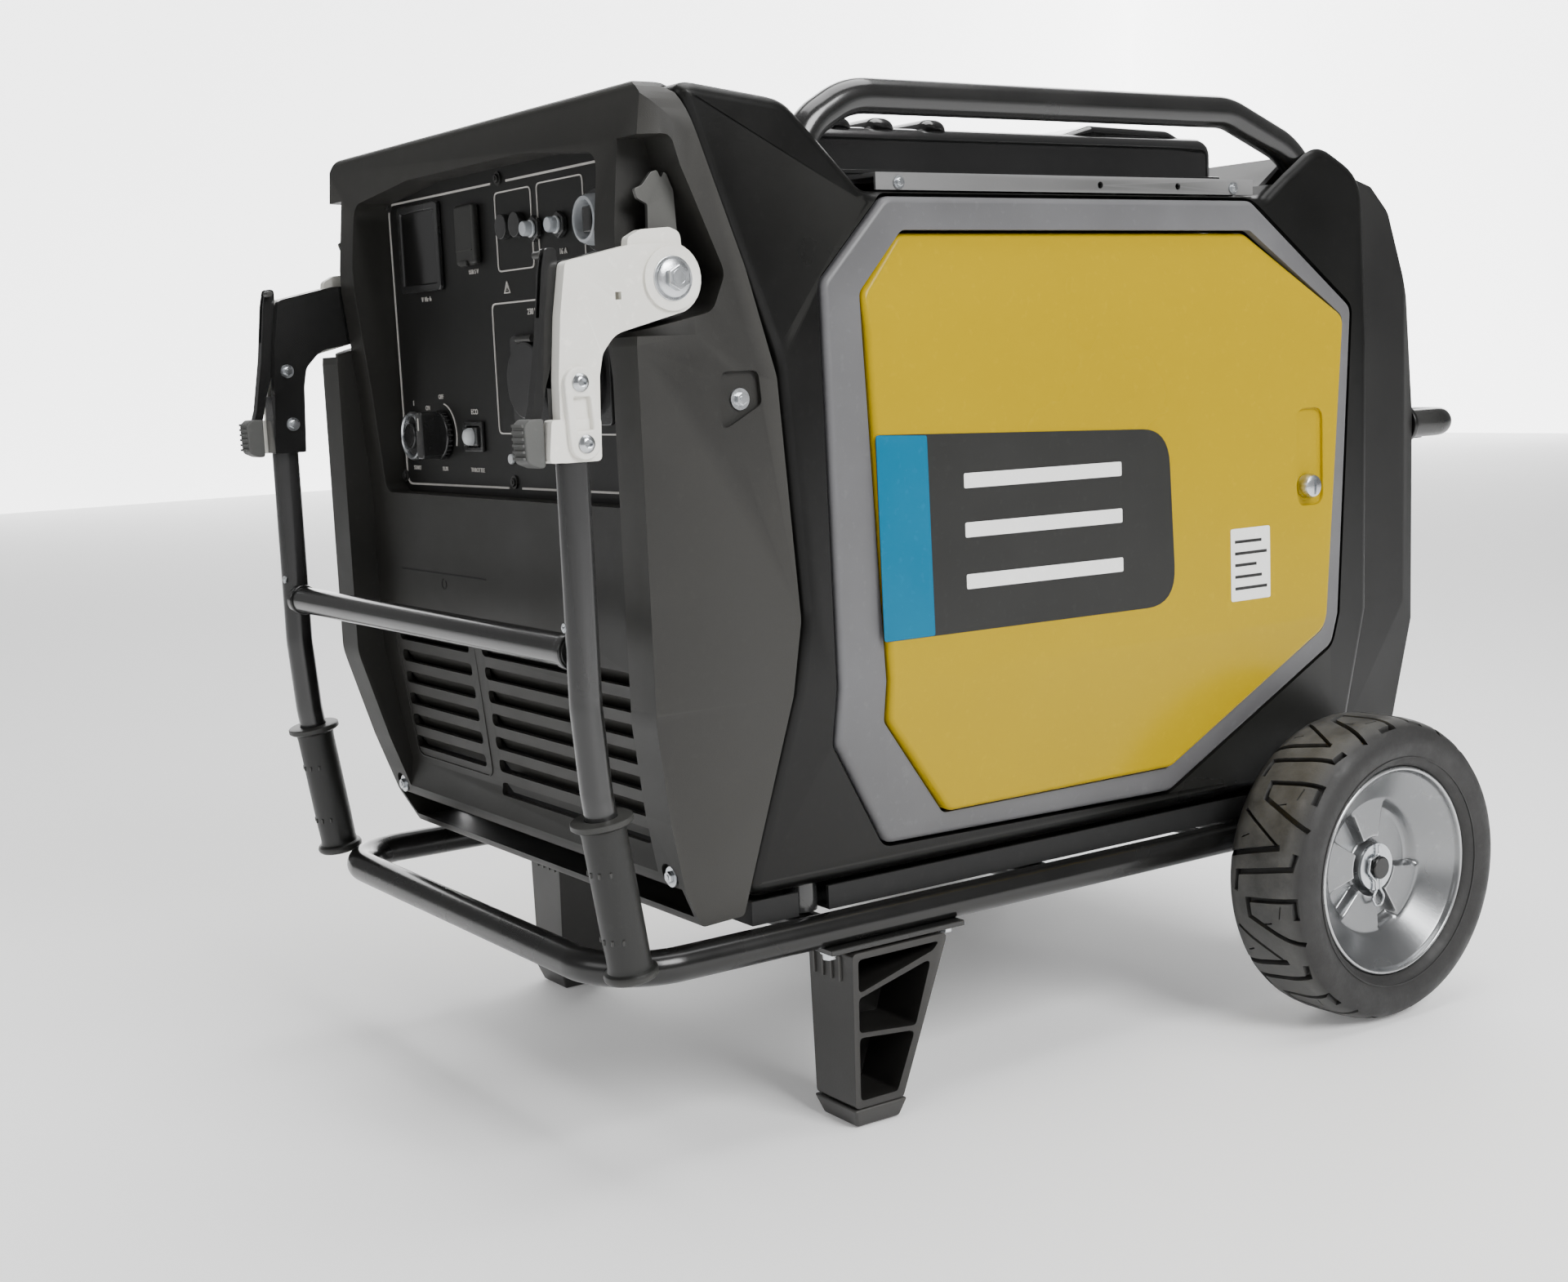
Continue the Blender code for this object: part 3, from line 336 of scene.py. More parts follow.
def prism(axis, outline, low, high):
    bm = bmesh.new()
    bottom = [bm.verts.new(AXES[axis] @ Vector((a, b, low))) for a, b in outline]
    top = [bm.verts.new(AXES[axis] @ Vector((a, b, high))) for a, b in outline]
    bm.faces.new(bottom)
    bm.faces.new(top)
    for index in range(len(outline)):
        follow = (index + 1) % len(outline)
        bm.faces.new((bottom[index], bottom[follow], top[follow], top[index]))
    return from_bm(bm)


def rounded(points, radius, steps=6):
    count = len(points)
    radii = radius if isinstance(radius, (list, tuple)) else [radius] * count
    result = []
    for index, point in enumerate(points):
        here = Vector(point)
        before = Vector(points[index - 1]) - here
        after = Vector(points[(index + 1) % count]) - here
        if radii[index] <= 0:
            result.append(tuple(here))
            continue
        angle = before.angle(after)
        reach = min(radii[index] / math.tan(angle / 2), before.length * 0.49, after.length * 0.49)
        start = here + before.normalized() * reach
        end = here + after.normalized() * reach
        for step in range(steps + 1):
            part = step / steps
            result.append(tuple(start * (1 - part) ** 2 + here * 2 * part * (1 - part) + end * part ** 2))
    return result


def inset(points, distance):
    area = sum(a[0] * b[1] - b[0] * a[1] for a, b in zip(points, list(points[1:]) + [points[0]]))
    turn = 1.0 if area > 0 else -1.0
    count = len(points)
    result = []
    for index in range(count):
        a, b, c = (Vector(points[(index + k) % count]) for k in (-1, 0, 1))
        first, second = (b - a).normalized(), (c - b).normalized()
        n1 = Vector((-first.y, first.x)) * turn
        n2 = Vector((-second.y, second.x)) * turn
        result.append(tuple(b + (n1 + n2) / (1.0 + n1.dot(n2)) * distance))
    return result


def tube(points, radius, bends=0.0, cyclic=False, sides=10, steps=10, taper=None):
    path = []
    count = len(points)
    for index, point in enumerate(points):
        here = Vector(point)
        if not cyclic and index in (0, count - 1):
            path.append(here)
            continue
        before = Vector(points[index - 1]) - here
        after = Vector(points[(index + 1) % count]) - here
        half = before.angle(after) / 2
        reach = min(bends / math.tan(half), before.length * 0.48, after.length * 0.48)
        bend = reach * math.tan(half)
        centre = here + (before.normalized() + after.normalized()).normalized() * (bend / math.sin(half))
        start = here + before.normalized() * reach - centre
        end = here + after.normalized() * reach - centre
        for step in range(steps + 1):
            path.append(centre + start.slerp(end, step / steps).normalized() * bend)
    curve = bpy.data.curves.new("path", 'CURVE')
    curve.dimensions = '3D'
    curve.bevel_depth = radius
    curve.bevel_resolution = sides
    curve.use_fill_caps = not cyclic
    spline = curve.splines.new('POLY')
    spline.points.add(len(path) - 1)
    for target, spot in zip(spline.points, path):
        target.co = (*spot, 1.0)
    spline.use_cyclic_u = cyclic
    holder = bpy.data.objects.new("holder", curve)
    mesh = bpy.data.meshes.new_from_object(holder)
    bpy.data.objects.remove(holder)
    bm = bmesh.new()
    bm.from_mesh(mesh)
    bmesh.ops.remove_doubles(bm, verts=bm.verts[:], dist=0.00002)
    return from_bm(bm)


def lathe(profile, centre, axis="x", count=96, sign=1):
    bm = bmesh.new()
    rings = []
    for step in range(count):
        angle = 2 * math.pi * step / count
        ring = []
        for radius, along in profile:
            spot = Vector((radius * math.cos(angle), radius * math.sin(angle), along * sign))
            ring.append(bm.verts.new(AXES[axis] @ spot + Vector(centre)))
        rings.append(ring)
    size = len(profile)
    for step in range(count):
        here, there = rings[step], rings[(step + 1) % count]
        for index in range(size):
            follow = (index + 1) % size
            bm.faces.new((here[index], here[follow], there[follow], there[index]))
    bmesh.ops.remove_doubles(bm, verts=bm.verts[:], dist=0.00001)
    return from_bm(bm)


def apply_modifiers(obj):
    bpy.context.view_layer.update()
    graph = bpy.context.evaluated_depsgraph_get()
    mesh = bpy.data.meshes.new_from_object(obj.evaluated_get(graph))
    obj.modifiers.clear()
    obj.data = mesh


def combine(target, tools, operation):
    for tool in tools:
        step = target.modifiers.new("step", 'BOOLEAN')
        step.operation = operation
        step.solver = 'EXACT'
        step.object = tool
        apply_modifiers(target)
        bpy.data.objects.remove(tool, do_unlink=True)
    bm = bmesh.new()
    bm.from_mesh(target.data)
    bmesh.ops.remove_doubles(bm, verts=bm.verts[:], dist=0.00001)
    flat = bm.copy()
    bmesh.ops.dissolve_limit(flat, angle_limit=0.002, verts=flat.verts[:], edges=flat.edges[:])
    # dissolving can close a hole in a flat face, which shows in the volume
    whole = bm.calc_volume()
    kept = flat if abs(flat.calc_volume() - whole) < 1e-5 * abs(whole) else bm
    kept.to_mesh(target.data)
    flat.free()
    bm.free()
    return target


def cut(target, *tools):
    return combine(target, tools, 'DIFFERENCE')


def join(target, *tools):
    return combine(target, tools, 'UNION')


def common(target, *tools):
    return combine(target, tools, 'INTERSECT')


def merge(target, *others):
    """Put several shapes in one mesh without a Boolean."""
    bm = bmesh.new()
    bm.from_mesh(target.data)
    for other in others:
        bm.from_mesh(other.data)
        bpy.data.objects.remove(other, do_unlink=True)
    bm.to_mesh(target.data)
    bm.free()
    return target


def soften(obj, width, segments=3, angle=32.0):
    bevel = obj.modifiers.new("edge", 'BEVEL')
    bevel.width = width
    bevel.segments = segments
    bevel.limit_method = 'ANGLE'
    bevel.angle_limit = math.radians(angle)
    bevel.use_clamp_overlap = True
    bevel.miter_outer = 'MITER_ARC'
    apply_modifiers(obj)
    return obj


def done(obj, name, mat, body, nodes=(), edge=0.0, segments=3, smooth=40.0, angle=32.0):
    """Finish a piece: rounded edges, shading, material, body and the nodes it stands for."""
    if edge:
        soften(obj, edge, segments, angle)
    obj.name = name
    obj.data.name = name
    obj.data.materials.clear()
    obj.data.materials.append(MAT[mat])
    for poly in obj.data.polygons:
        poly.use_smooth = True
    obj.data.set_sharp_from_angle(angle=math.radians(smooth))
    normals = obj.modifiers.new("normals", 'WEIGHTED_NORMAL')
    normals.keep_sharp = True
    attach(obj, body)
    if nodes:
        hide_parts(*nodes)
    return obj


def span(a, b):
    return (min(a, b), max(a, b))


def side_prism(sign, outline, near, far):
    low, high = span(sign * near, sign * far)
    return prism("x", outline, low, high)


def side_box(sign, near, far, y, z):
    low, high = span(sign * near, sign * far)
    return box((low, y[0], z[0]), (high, y[1], z[1]))


def side_cylinder(sign, centre, radius, near, far, count=48):
    low, high = span(sign * near, sign * far)
    return cylinder("x", centre, radius, low, high, count)


def paint_node(node, mat, edge=0.0):
    """Keep a CAD node and give it a finished material."""
    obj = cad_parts[node]
    obj.data.materials.clear()
    obj.data.materials.append(MAT[mat])
    if edge:
        flat = obj.modifiers.new("flat", 'DECIMATE')
        flat.decimate_type = 'DISSOLVE'
        flat.angle_limit = math.radians(0.5)
        bevel = obj.modifiers.new("edge", 'BEVEL')
        bevel.width = edge
        bevel.segments = 2
        bevel.limit_method = 'ANGLE'
        bevel.angle_limit = math.radians(35)
    for poly in obj.data.polygons:
        poly.use_smooth = True
    obj.data.set_sharp_from_angle(angle=math.radians(38))
    normals = obj.modifiers.new("normals", 'WEIGHTED_NORMAL')
    normals.keep_sharp = True


def hex_bolt(axis, spot, out, size=0.0055, washer=0.0085, height=0.0045):
    """Flanged hexagon head; spot is on the surface, out is +1 or -1 along the axis."""
    index = "xyz".index(axis)
    across = [c for k, c in enumerate(spot) if k != index]
    base = spot[index]
    low, high = span(base, base + out * 0.0012)
    flange = cylinder(axis, across, washer, low, high, 32)
    low, high = span(base + out * 0.001, base + out * height)
    head = cylinder(axis, across, size, low, high, 6)
    soften(head, 0.0007, 2)
    low, high = span(base + out * height * 0.9, base + out * (height + 0.0006))
    dimple = cylinder(axis, across, size * 0.45, low, high, 20)
    return merge(flange, head, dimple)


def bevel_edges(obj, test, width, segments=4):
    """Round only the edges whose two ends pass the test."""
    bm = bmesh.new()
    bm.from_mesh(obj.data)
    bmesh.ops.dissolve_limit(bm, angle_limit=0.01, verts=bm.verts[:], edges=bm.edges[:])
    chosen = [e for e in bm.edges if len(e.link_faces) == 2 and e.calc_face_angle() > math.radians(12)
              and test(e.verts[0].co, e.verts[1].co)]
    bmesh.ops.bevel(bm, geom=chosen, offset=width, offset_type='OFFSET', segments=segments, profile=0.5,
                    affect='EDGES', clamp_overlap=True)
    bm.to_mesh(obj.data)
    bm.free()
    return obj


def flank(offset):
    """Half of the body's front-view outline; below the waist the sides lean inwards."""
    slope = 0.2114
    return [(0.2665 + offset, 0.80), (0.2665 + offset, WAIST_Z), (0.2665 + offset - slope * (WAIST_Z - 0.10), 0.10)]


def flank_block(offset, low, high):
    half = flank(offset)
    return prism("y", half + [(-x, z) for x, z in reversed(half)], low, high)


def pillow(sign, outline, near, face, radius, creases, steps=5):
    """Block across x with a quarter-round outer edge; face(z) is the distance of its outer skin."""
    bm = bmesh.new()
    top = face(WAIST_Z + 0.05)
    lines = [(outline, None)]
    for step in range(steps + 1):
        turn = math.pi / 2 * step / steps
        lines.append((inset(outline, radius * (1 - math.cos(turn))), radius * (1 - math.sin(turn))))
    rings = []
    for line, drop in lines:
        ring = []
        for a, b in line:
            ring.append(bm.verts.new((near if drop is None else top - drop, a, b)))
        rings.append(ring)
    for first, second in zip(rings, rings[1:]):
        for index in range(len(outline)):
            follow = (index + 1) % len(outline)
            bm.faces.new((first[index], first[follow], second[follow], second[index]))
    bm.faces.new(rings[0])
    bm.faces.new(rings[-1])
    for height in creases:
        geometry = bm.verts[:] + bm.edges[:] + bm.faces[:]
        bmesh.ops.bisect_plane(bm, geom=geometry, plane_co=(0, 0, height), plane_no=(0, 0, 1))
    for vert in bm.verts:
        if vert.co.x > near + 0.0001:
            vert.co.x += face(vert.co.z) - top
        vert.co.x *= sign
    bmesh.ops.triangulate(bm, faces=bm.faces[:])
    return from_bm(bm)


def arc(centre, radius, start, end, steps):
    return [(centre[0] + radius * math.cos(math.radians(start + (end - start) * k / steps)),
             centre[1] + radius * math.sin(math.radians(start + (end - start) * k / steps)))
            for k in range(steps + 1)]


# ---------------------------------------------------------------- frame, rails, legs
def build_frame():
    loop = [(-BASE_X, BASE_Y[0], BASE_Z), (BASE_X, BASE_Y[0], BASE_Z),
            (BASE_X, BASE_Y[1], BASE_Z), (-BASE_X, BASE_Y[1], BASE_Z)]
    frame_tube = tube(loop, TUBE_R, bends=0.055, cyclic=True, steps=14)
    bars = [cylinder("x", (y, BASE_Z), 0.010, -BASE_X, BASE_X, 24) for y in (-0.24, -0.02, 0.215)]
    plates = [soften(box((min(s * 0.196, s * 0.2545), -0.246, 0.1368), (max(s * 0.196, s * 0.2545), -0.122, 0.1412)),
                     0.0008, 2) for s in (-1, 1)]
    hangers = []
    for sign in (-1, 1):
        outline = ((0.238, 0.158), (0.238, 0.122), (0.252, 0.108), (0.278, 0.108), (0.292, 0.122), (0.292, 0.158))
        hangers.append(soften(side_prism(sign, rounded(outline, 0.006), 0.2330, 0.2385), 0.0008, 2))
    merge(frame_tube, *bars, *plates, *hangers)
    done(frame_tube, "base_loop", "frame", "chassis", ["base_frame"], smooth=50)
    for side, sign in SIDES:
        x = sign * HOOP_X
        foot = BASE_Z + TUBE_R
        low = sign * HOOP_LOW_X
        points = [(low, HOOP_Y[0], foot), (low, HOOP_Y[0], 0.192), (x, HOOP_Y[0], WAIST_Z), (x, HOOP_Y[0], 0.722),
                  (x, -0.200, 0.749), (x, 0.176, 0.749), (x, 0.245, 0.722), (x, HOOP_Y[1], 0.655),
                  (x, HOOP_Y[1], WAIST_Z), (low, HOOP_Y[1], 0.192), (low, HOOP_Y[1], foot)]
        done(tube(points, TUBE_R, bends=0.06, steps=12), side + "_rail_tube", "black", "chassis",
             [side + "_hoop"], smooth=50)
    axle = cylinder("x", (WHEEL_Y, WHEEL_R), 0.0095, -AXLE_END, AXLE_END, 40)
    done(axle, "wheel_axle", "frame", "chassis", ["axle"], edge=0.0014, segments=3)


def build_legs():
    for side, sign in SIDES:
        outline = rounded(((-0.2285, 0.1352), (-0.2285, 0.016), (-0.184, 0.016), (-0.1395, 0.1352)), 0.004, 3)
        leg = side_prism(sign, outline, 0.199, 0.2555)
        taper = 0.11
        pockets = (
            ((-0.2235, 0.130), (-0.2235, 0.1045), (-0.1545, 0.124), (-0.1475, 0.130)),
            ((-0.2235, 0.1005), (-0.2235, 0.0745), (-0.1715, 0.0695), (-0.156, 0.1180)),
            ((-0.2235, 0.0705), (-0.2235, 0.022), (-0.1895, 0.022), (-0.1725, 0.0655)),
        )
        for pocket in pockets:
            cut(leg, side_prism(sign, rounded(pocket, 0.0035, 3), 0.2035, 0.270))
        ribs = [side_box(sign, 0.206 + 0.011 * k, 0.208 + 0.011 * k, (-0.2300, -0.2270), (0.112, 0.131))
                for k in range(4)]
        soften(leg, 0.0011, 2)
        merge(leg, *ribs)
        for vert in leg.data.vertices:
            drop = max(0.0, (0.125 - vert.co.z) / 0.11)
            vert.co.x = sign * (0.227 + (abs(vert.co.x) - 0.227) * (1.0 - taper * drop))
        done(leg, side + "_leg_moulding", "leg", "chassis", [side + "_leg"])
        foot = box((0.200, -0.2300, 0.0005), (0.2545, -0.1815, 0.0157))
        bm = bmesh.new()
        bm.from_mesh(foot.data)
        for vert in bm.verts:
            if vert.co.z < 0.008:
                vert.co.x += 0.006 if vert.co.x < 0.227 else -0.006
                vert.co.y += 0.005 if vert.co.y < -0.2 else -0.004
            vert.co.x *= sign
        bmesh.ops.recalc_face_normals(bm, faces=bm.faces[:])
        bm.to_mesh(foot.data)
        bm.free()
        done(foot, side + "_foot_pad", "leg", "chassis", [side + "_foot"], edge=0.002, segments=3)
        for index, y in enumerate((-0.2385, -0.130)):
            nut = hex_bolt("z", (sign * 0.240, y, 0.1368), -1, 0.0055, 0.0066, 0.006)
            done(nut, "%s_leg_nut_%d" % (side, index + 1), "zinc", "chassis")


# ---------------------------------------------------------------- moulded covers
COVER_SIDE = ((-0.344, 0.174), (-0.360, 0.205), (-0.375, 0.256), (-0.3920, 0.330), (-0.3925, 0.580),
              (-0.376, 0.752), (-0.3530, 0.752), (-0.3060, 0.630), (-0.2840, 0.556), (-0.2720, 0.387), (-0.3085, 0.176))
POCKET_YZ = ((-0.430, 0.716), (-0.359, 0.716), (-0.353, 0.696), (-0.322, 0.626), (-0.333, 0.601), (-0.430, 0.5797))


MIDDLE_YZ = ((-0.3662, 0.196), (-0.3570, 0.236), (-0.3685, 0.350), (-0.3685, 0.470), (-0.3760, 0.560),
             (-0.3850, 0.640), (-0.3850, 0.700), (-0.3760, 0.764))


def build_front_cover():
    side_line = rounded(COVER_SIDE, [0.006, 0.03, 0.05, 0.06, 0.004, 0.006, 0.004, 0.06, 0.03, 0.03, 0.004], 5)
    body = prism("x", side_line, -0.2705, 0.2705)
    common(body, flank_block(0.0040, -0.45, -0.20))
    front = rounded([(-0.2705, 0.16), (0.2705, 0.16), (0.2705, 0.7515), (0.10, 0.7605), (-0.10, 0.7605),
                     (-0.2705, 0.7515)], [0, 0, 0.036, 0.1, 0.1, 0.036], 8)
    common(body, prism("y", front, -0.45, -0.20))
    plan_low = [(-0.2705, -0.3935), (0.2705, -0.3935), (0.2705, -0.2), (-0.2705, -0.2)]
    plan_high = rounded([(-0.2705, -0.3935), (0.2705, -0.3935), (0.2705, -0.2), (-0.2705, -0.2)],
                        [0.046, 0.046, 0, 0], 9)
    keep = prism("z", plan_low, 0.15, 0.586)
    join(keep, prism("z", plan_high, 0.5855, 0.80))
    common(body, keep)
    sunken = prism("x", [(-0.46, 0.196)] + list(MIDDLE_YZ) + [(-0.46, 0.764)], -0.2365, 0.2365)
    common(sunken, flank_block(-0.0300, -0.47, -0.20))
    cut(body, sunken)
    bevel_edges(body, lambda a, b: min(a.z, b.z) > 0.738 and a.y < -0.35 and b.y < -0.35, 0.0080, 5)
    bevel_edges(body, lambda a, b: min(a.y, b.y) < -0.388 and 0.19 < min(a.z, b.z) and max(a.z, b.z) < 0.60, 0.0060, 4)
    hollow = prism("x", inset(COVER_SIDE, 0.0045), -0.266, 0.266)
    rear_open = ((-0.36, 0.182), (-0.36, 0.30), (-0.33, 0.60), (-0.3725, 0.748), (-0.30, 0.748), (-0.20, 0.57),
                 (-0.20, 0.182))
    join(hollow, prism("x", rear_open, -0.266, 0.266))
    inner_plan = [(-0.2290, -0.3895), (0.2290, -0.3895), (0.266, -0.345), (0.266, -0.1), (-0.266, -0.1),
                  (-0.266, -0.345)]
    common(hollow, prism("z", inner_plan, 0.1, 0.748))
    common(hollow, flank_block(-0.0005, -0.45, -0.10))
    cut(hollow, box((-0.2125, -0.45, 0.4665), (0.2125, PANEL_Y + 0.0003, 0.7255)))
    back = [(y + 0.0045, z) for y, z in MIDDLE_YZ]
    cut(hollow, prism("x", [(-0.46, 0.15), (back[0][0], 0.15)] + back + [(-0.46, 0.764)], -0.2405, 0.2405))
    for sign in (-1, 1):
        cut(hollow, side_prism(sign, inset(list(POCKET_YZ), -0.004), 0.2315, 0.30))
    cut(body, hollow)
    # handle pockets at both sides
    for sign in (-1, 1):
        pocket = rounded(POCKET_YZ, [0, 0.008, 0.02, 0.014, 0.012, 0])
        cut(body, side_prism(sign, pocket, 0.2355, 0.30))
    # control recess
    recess = rounded([(-0.2065, 0.4700), (0.2065, 0.4700), (0.2085, 0.710), (0.10, 0.7210), (-0.10, 0.7210),
                      (-0.2085, 0.710)], [0.012, 0.012, 0.016, 0.1, 0.1, 0.016])
    cut(body, prism("y", recess, -0.45, -0.30))
    bevel_edges(body, lambda a, b: all(abs(c.x) < 0.2090 and 0.469 < c.z < 0.722 and abs(c.y - face_y(c.z)) < 0.0012
                                       for c in (a, b)), 0.0060, 4)
    # louvres of the sunken middle face
    for low, high, rows in LOUVRES:
        for row in range(rows):
            z = 0.3490 - row * 0.0190
            slot = rounded([(low, z - 0.0052), (high, z - 0.0052), (high, z + 0.0052), (low, z + 0.0052)], 0.0050, 4)
            cut(body, prism("y", slot, -0.42, -0.33))
    soften(body, 0.0022, 4, 40)
    # side screw recesses
    for sign in (-1, 1):
        dent = rounded([(-0.331, 0.520), (-0.297, 0.538), (-0.299, 0.561), (-0.329, 0.561)], 0.006, 4)
        cut(body, side_prism(sign, dent, 0.2668, 0.30))
        cut(body, cylinder("y", (sign * 0.2270, 0.2120), 0.0100, -0.45, -0.3600, 24))
    done(body, "front_cover_shell", "cover", "chassis", ["front_cover"], smooth=24)


LOUVRES = ((-0.1990, -0.0640, 6), (-0.0400, 0.1970, 7))


def face_y(z):
    """The sunken face's distance at a height."""
    for (y0, z0), (y1, z1) in zip(MIDDLE_YZ, MIDDLE_YZ[1:]):
        if z <= z1:
            return y0 + (y1 - y0) * (z - z0) / (z1 - z0)
    return MIDDLE_YZ[-1][0]


def lean_back(obj):
    """Slide a piece built on the plane y = 0 onto the sunken face."""
    for vert in obj.data.vertices:
        vert.co.y += face_y(vert.co.z)
    return obj


def build_grille():
    """Slanted blades behind the louvres, a near-black sheet behind them as painted shade inside the grille, and the
    raised outline round the left group.
    """
    blades = []
    for low, high, rows in LOUVRES:
        for row in range(rows):
            z = 0.3490 - row * 0.0190
            y = face_y(z)
            blade = prism("x", ((y + 0.0030, z + 0.0062), (y + 0.0046, z + 0.0062), (y + 0.0130, z - 0.0060),
                                (y + 0.0114, z - 0.0060)), low - 0.003, high + 0.003)
            blades.append(blade)
    done(merge(*blades), "grille_blades", "cover", "chassis", edge=0.0003, segments=1)
    # painted shade: a near-black matte sheet behind the slots stands in for the shade inside the louvres
    back = box((-0.2120, -0.3395, 0.205), (0.2120, -0.3380, 0.372))
    done(back, "grille_shade_sheet", "dark", "chassis", edge=0.0004)
    low, high = LOUVRES[0][0] - 0.011, LOUVRES[0][1] + 0.011
    outline = rounded([(low + 0.012, 0.2410), (high, 0.2410), (high, 0.3690), (low, 0.3690)], 0.012, 6)
    ring = prism("y", outline, -0.0009, 0.0012)
    cut(ring, prism("y", inset(outline, 0.0014), -0.01, 0.01))
    done(lean_back(ring), "grille_outline", "cover", "chassis", edge=0.0004, segments=2)
    slit = box((-0.184, -0.0004, 0.4053), (-0.024, 0.0010, 0.4066))
    mark = arc((-0.102, 0.3975), 0.0046, 100, 400, 12) + arc((-0.102, 0.3975), 0.0036, 400, 100, 12)
    sign_mark = prism("y", mark, -0.0004, 0.0010)
    done(lean_back(merge(slit, sign_mark)), "grille_seam", "dark", "chassis", edge=0.0002)


build_frame()
build_legs()
build_front_cover()
build_grille()


# ---------------------------------------------------------------- control panel
def line_frame(points, width, low, high, gaps=()):
    """Thin printed line around a closed outline, with optional breaks cut out as boxes."""
    ring = prism("y", points, low, high)
    cut(ring, prism("y", inset(points, width), low - 0.01, high + 0.01))
    for gap in gaps:
        cut(ring, box((gap[0], low - 0.01, gap[2]), (gap[1], high + 0.01, gap[3])))
    return ring


def text(words, size, spot, depth=0.0003):
    curve = bpy.data.curves.new("words", 'FONT')
    curve.body = words
    curve.size = size
    curve.align_x = 'CENTER'
    curve.align_y = 'CENTER'
    curve.extrude = depth
    curve.resolution_u = 3
    holder = bpy.data.objects.new("words", curve)
    mesh = bpy.data.meshes.new_from_object(holder)
    bpy.data.objects.remove(holder)
    mesh.transform(Matrix.Translation(spot) @ Matrix.Rotation(math.pi / 2, 4, 'X'))
    return add(mesh)


def build_control_panel():
    y = PANEL_Y
    sheet = box((-0.2120, y + 0.0003, 0.4690), (0.2120, y + 0.0030, 0.7230))
    holes = [cylinder("y", spot, radius, y - 0.02, y + 0.02, 64)
             for spot, radius in ((START, 0.0115), (BREAKERS[0], 0.0071), (BREAKERS[1], 0.0071), (MAIN, 0.0188))]
    holes.append(box((ECO[0] - 0.0128, y - 0.02, ECO[1] - 0.0085), (ECO[0] + 0.0128, y + 0.02, ECO[1] + 0.0085)))
    cut(sheet, *holes)
    done(sheet, "panel_sheet", "panel", "chassis", ["control_panel"], edge=0.0005, segments=2)
    border = rounded([(-0.202, 0.4755), (0.182, 0.4775), (0.182, 0.7110), (-0.206, 0.7110)], 0.010, 5)
    lines = [line_frame(border, 0.0016, y - 0.0004, y + 0.0010,
                        [(-0.010, 0.012, 0.46, 0.50), (-0.012, 0.014, 0.70, 0.73)])]
    sockets = rounded([(-0.007, 0.643), (0.053, 0.643), (0.053, 0.703), (-0.007, 0.703)], 0.005, 4)
    lines.append(line_frame(sockets, 0.0010, y - 0.0004, y + 0.0010))
    breakers = rounded([(0.070, 0.643), (0.141, 0.643), (0.141, 0.704), (0.070, 0.704)], 0.005, 4)
    lines.append(line_frame([(a - 0.008, b) for a, b in breakers], 0.0010, y - 0.0004, y + 0.0010))
    outlets = rounded([(-0.022, 0.519), (0.172, 0.519), (0.172, 0.620), (-0.022, 0.620)], 0.006, 4)
    lines.append(line_frame(outlets, 0.0012, y - 0.0004, y + 0.0010))
    lines.append(box((0.088, y - 0.0004, 0.519), (0.0892, y + 0.0010, 0.620)))
    lines.append(box((-0.160, y - 0.0004, 0.5025), (-0.140, y + 0.0010, 0.5033)))
    triangle = line_frame([(0.0005, 0.6265), (0.0115, 0.6265), (0.006, 0.6360)], 0.0009, y - 0.0004, y + 0.0010)
    lines.append(triangle)
    arc_mark = arc(ENGINE_SWITCH, 0.0262, -20, 80, 14)
    inner_mark = arc(ENGINE_SWITCH, 0.0252, 80, -20, 14)
    lines.append(prism("y", arc_mark + inner_mark, y - 0.0004, y + 0.0010))
    for words, size, x, z in (("ON", 0.0055, -0.152, 0.5400), ("OFF", 0.0055, -0.125, 0.5490), ("I", 0.006, -0.180, 0.5440),
                              ("ECO", 0.0060, -0.064, 0.5365), ("START", 0.0050, -0.180, 0.4900),
                              ("RUN", 0.0050, -0.125, 0.4900), ("THROTTLE", 0.0050, -0.064, 0.4900), ("16 A", 0.0060, 0.060, 0.652),
                              ("16 A", 0.0060, 0.099, 0.652), ("50 A", 0.0060, 0.158, 0.6425),
                              ("230 V", 0.0065, 0.045, 0.6110), ("230 V", 0.0065, 0.130, 0.6110), ("!", 0.0065, 0.006, 0.6305),
                              ("V  Hz  h", 0.0055, -0.141, 0.6290), ("USB 5 V", 0.0050, -0.050, 0.6460)):
        lines.append(text(words, size, (x, y - 0.0001, z)))
    done(merge(*lines), "panel_print", "print", "chassis", smooth=30)
    screws = []
    for x, z in ((0.001, 0.713), (0.0, 0.482), (-0.204, 0.483), (-0.2035, 0.7095), (0.2025, 0.7095), (0.2025, 0.483)):
        screws.append(hex_bolt("y", (x, y, z), -1, 0.0036, 0.0052, 0.0030))
    done(merge(*screws), "panel_screws", "steel", "chassis")


def build_display():
    y = PANEL_Y
    corners = [(-0.181, 0.635), (-0.104, 0.635), (-0.104, 0.706), (-0.181, 0.706)]
    bezel = prism("y", rounded(corners, 0.005, 5), y - 0.0042, y - 0.0002)
    cut(bezel, prism("y", rounded(inset(corners, 0.006), 0.002, 5), y - 0.02, y - 0.0022))
    done(bezel, "display_bezel", "button", "chassis", ["display_window"], edge=0.0012)
    pane = prism("y", rounded(inset(corners, 0.0062), 0.002, 5), y - 0.0030, y - 0.0015)
    done(pane, "display_pane", "glass", "chassis", edge=0.0005)


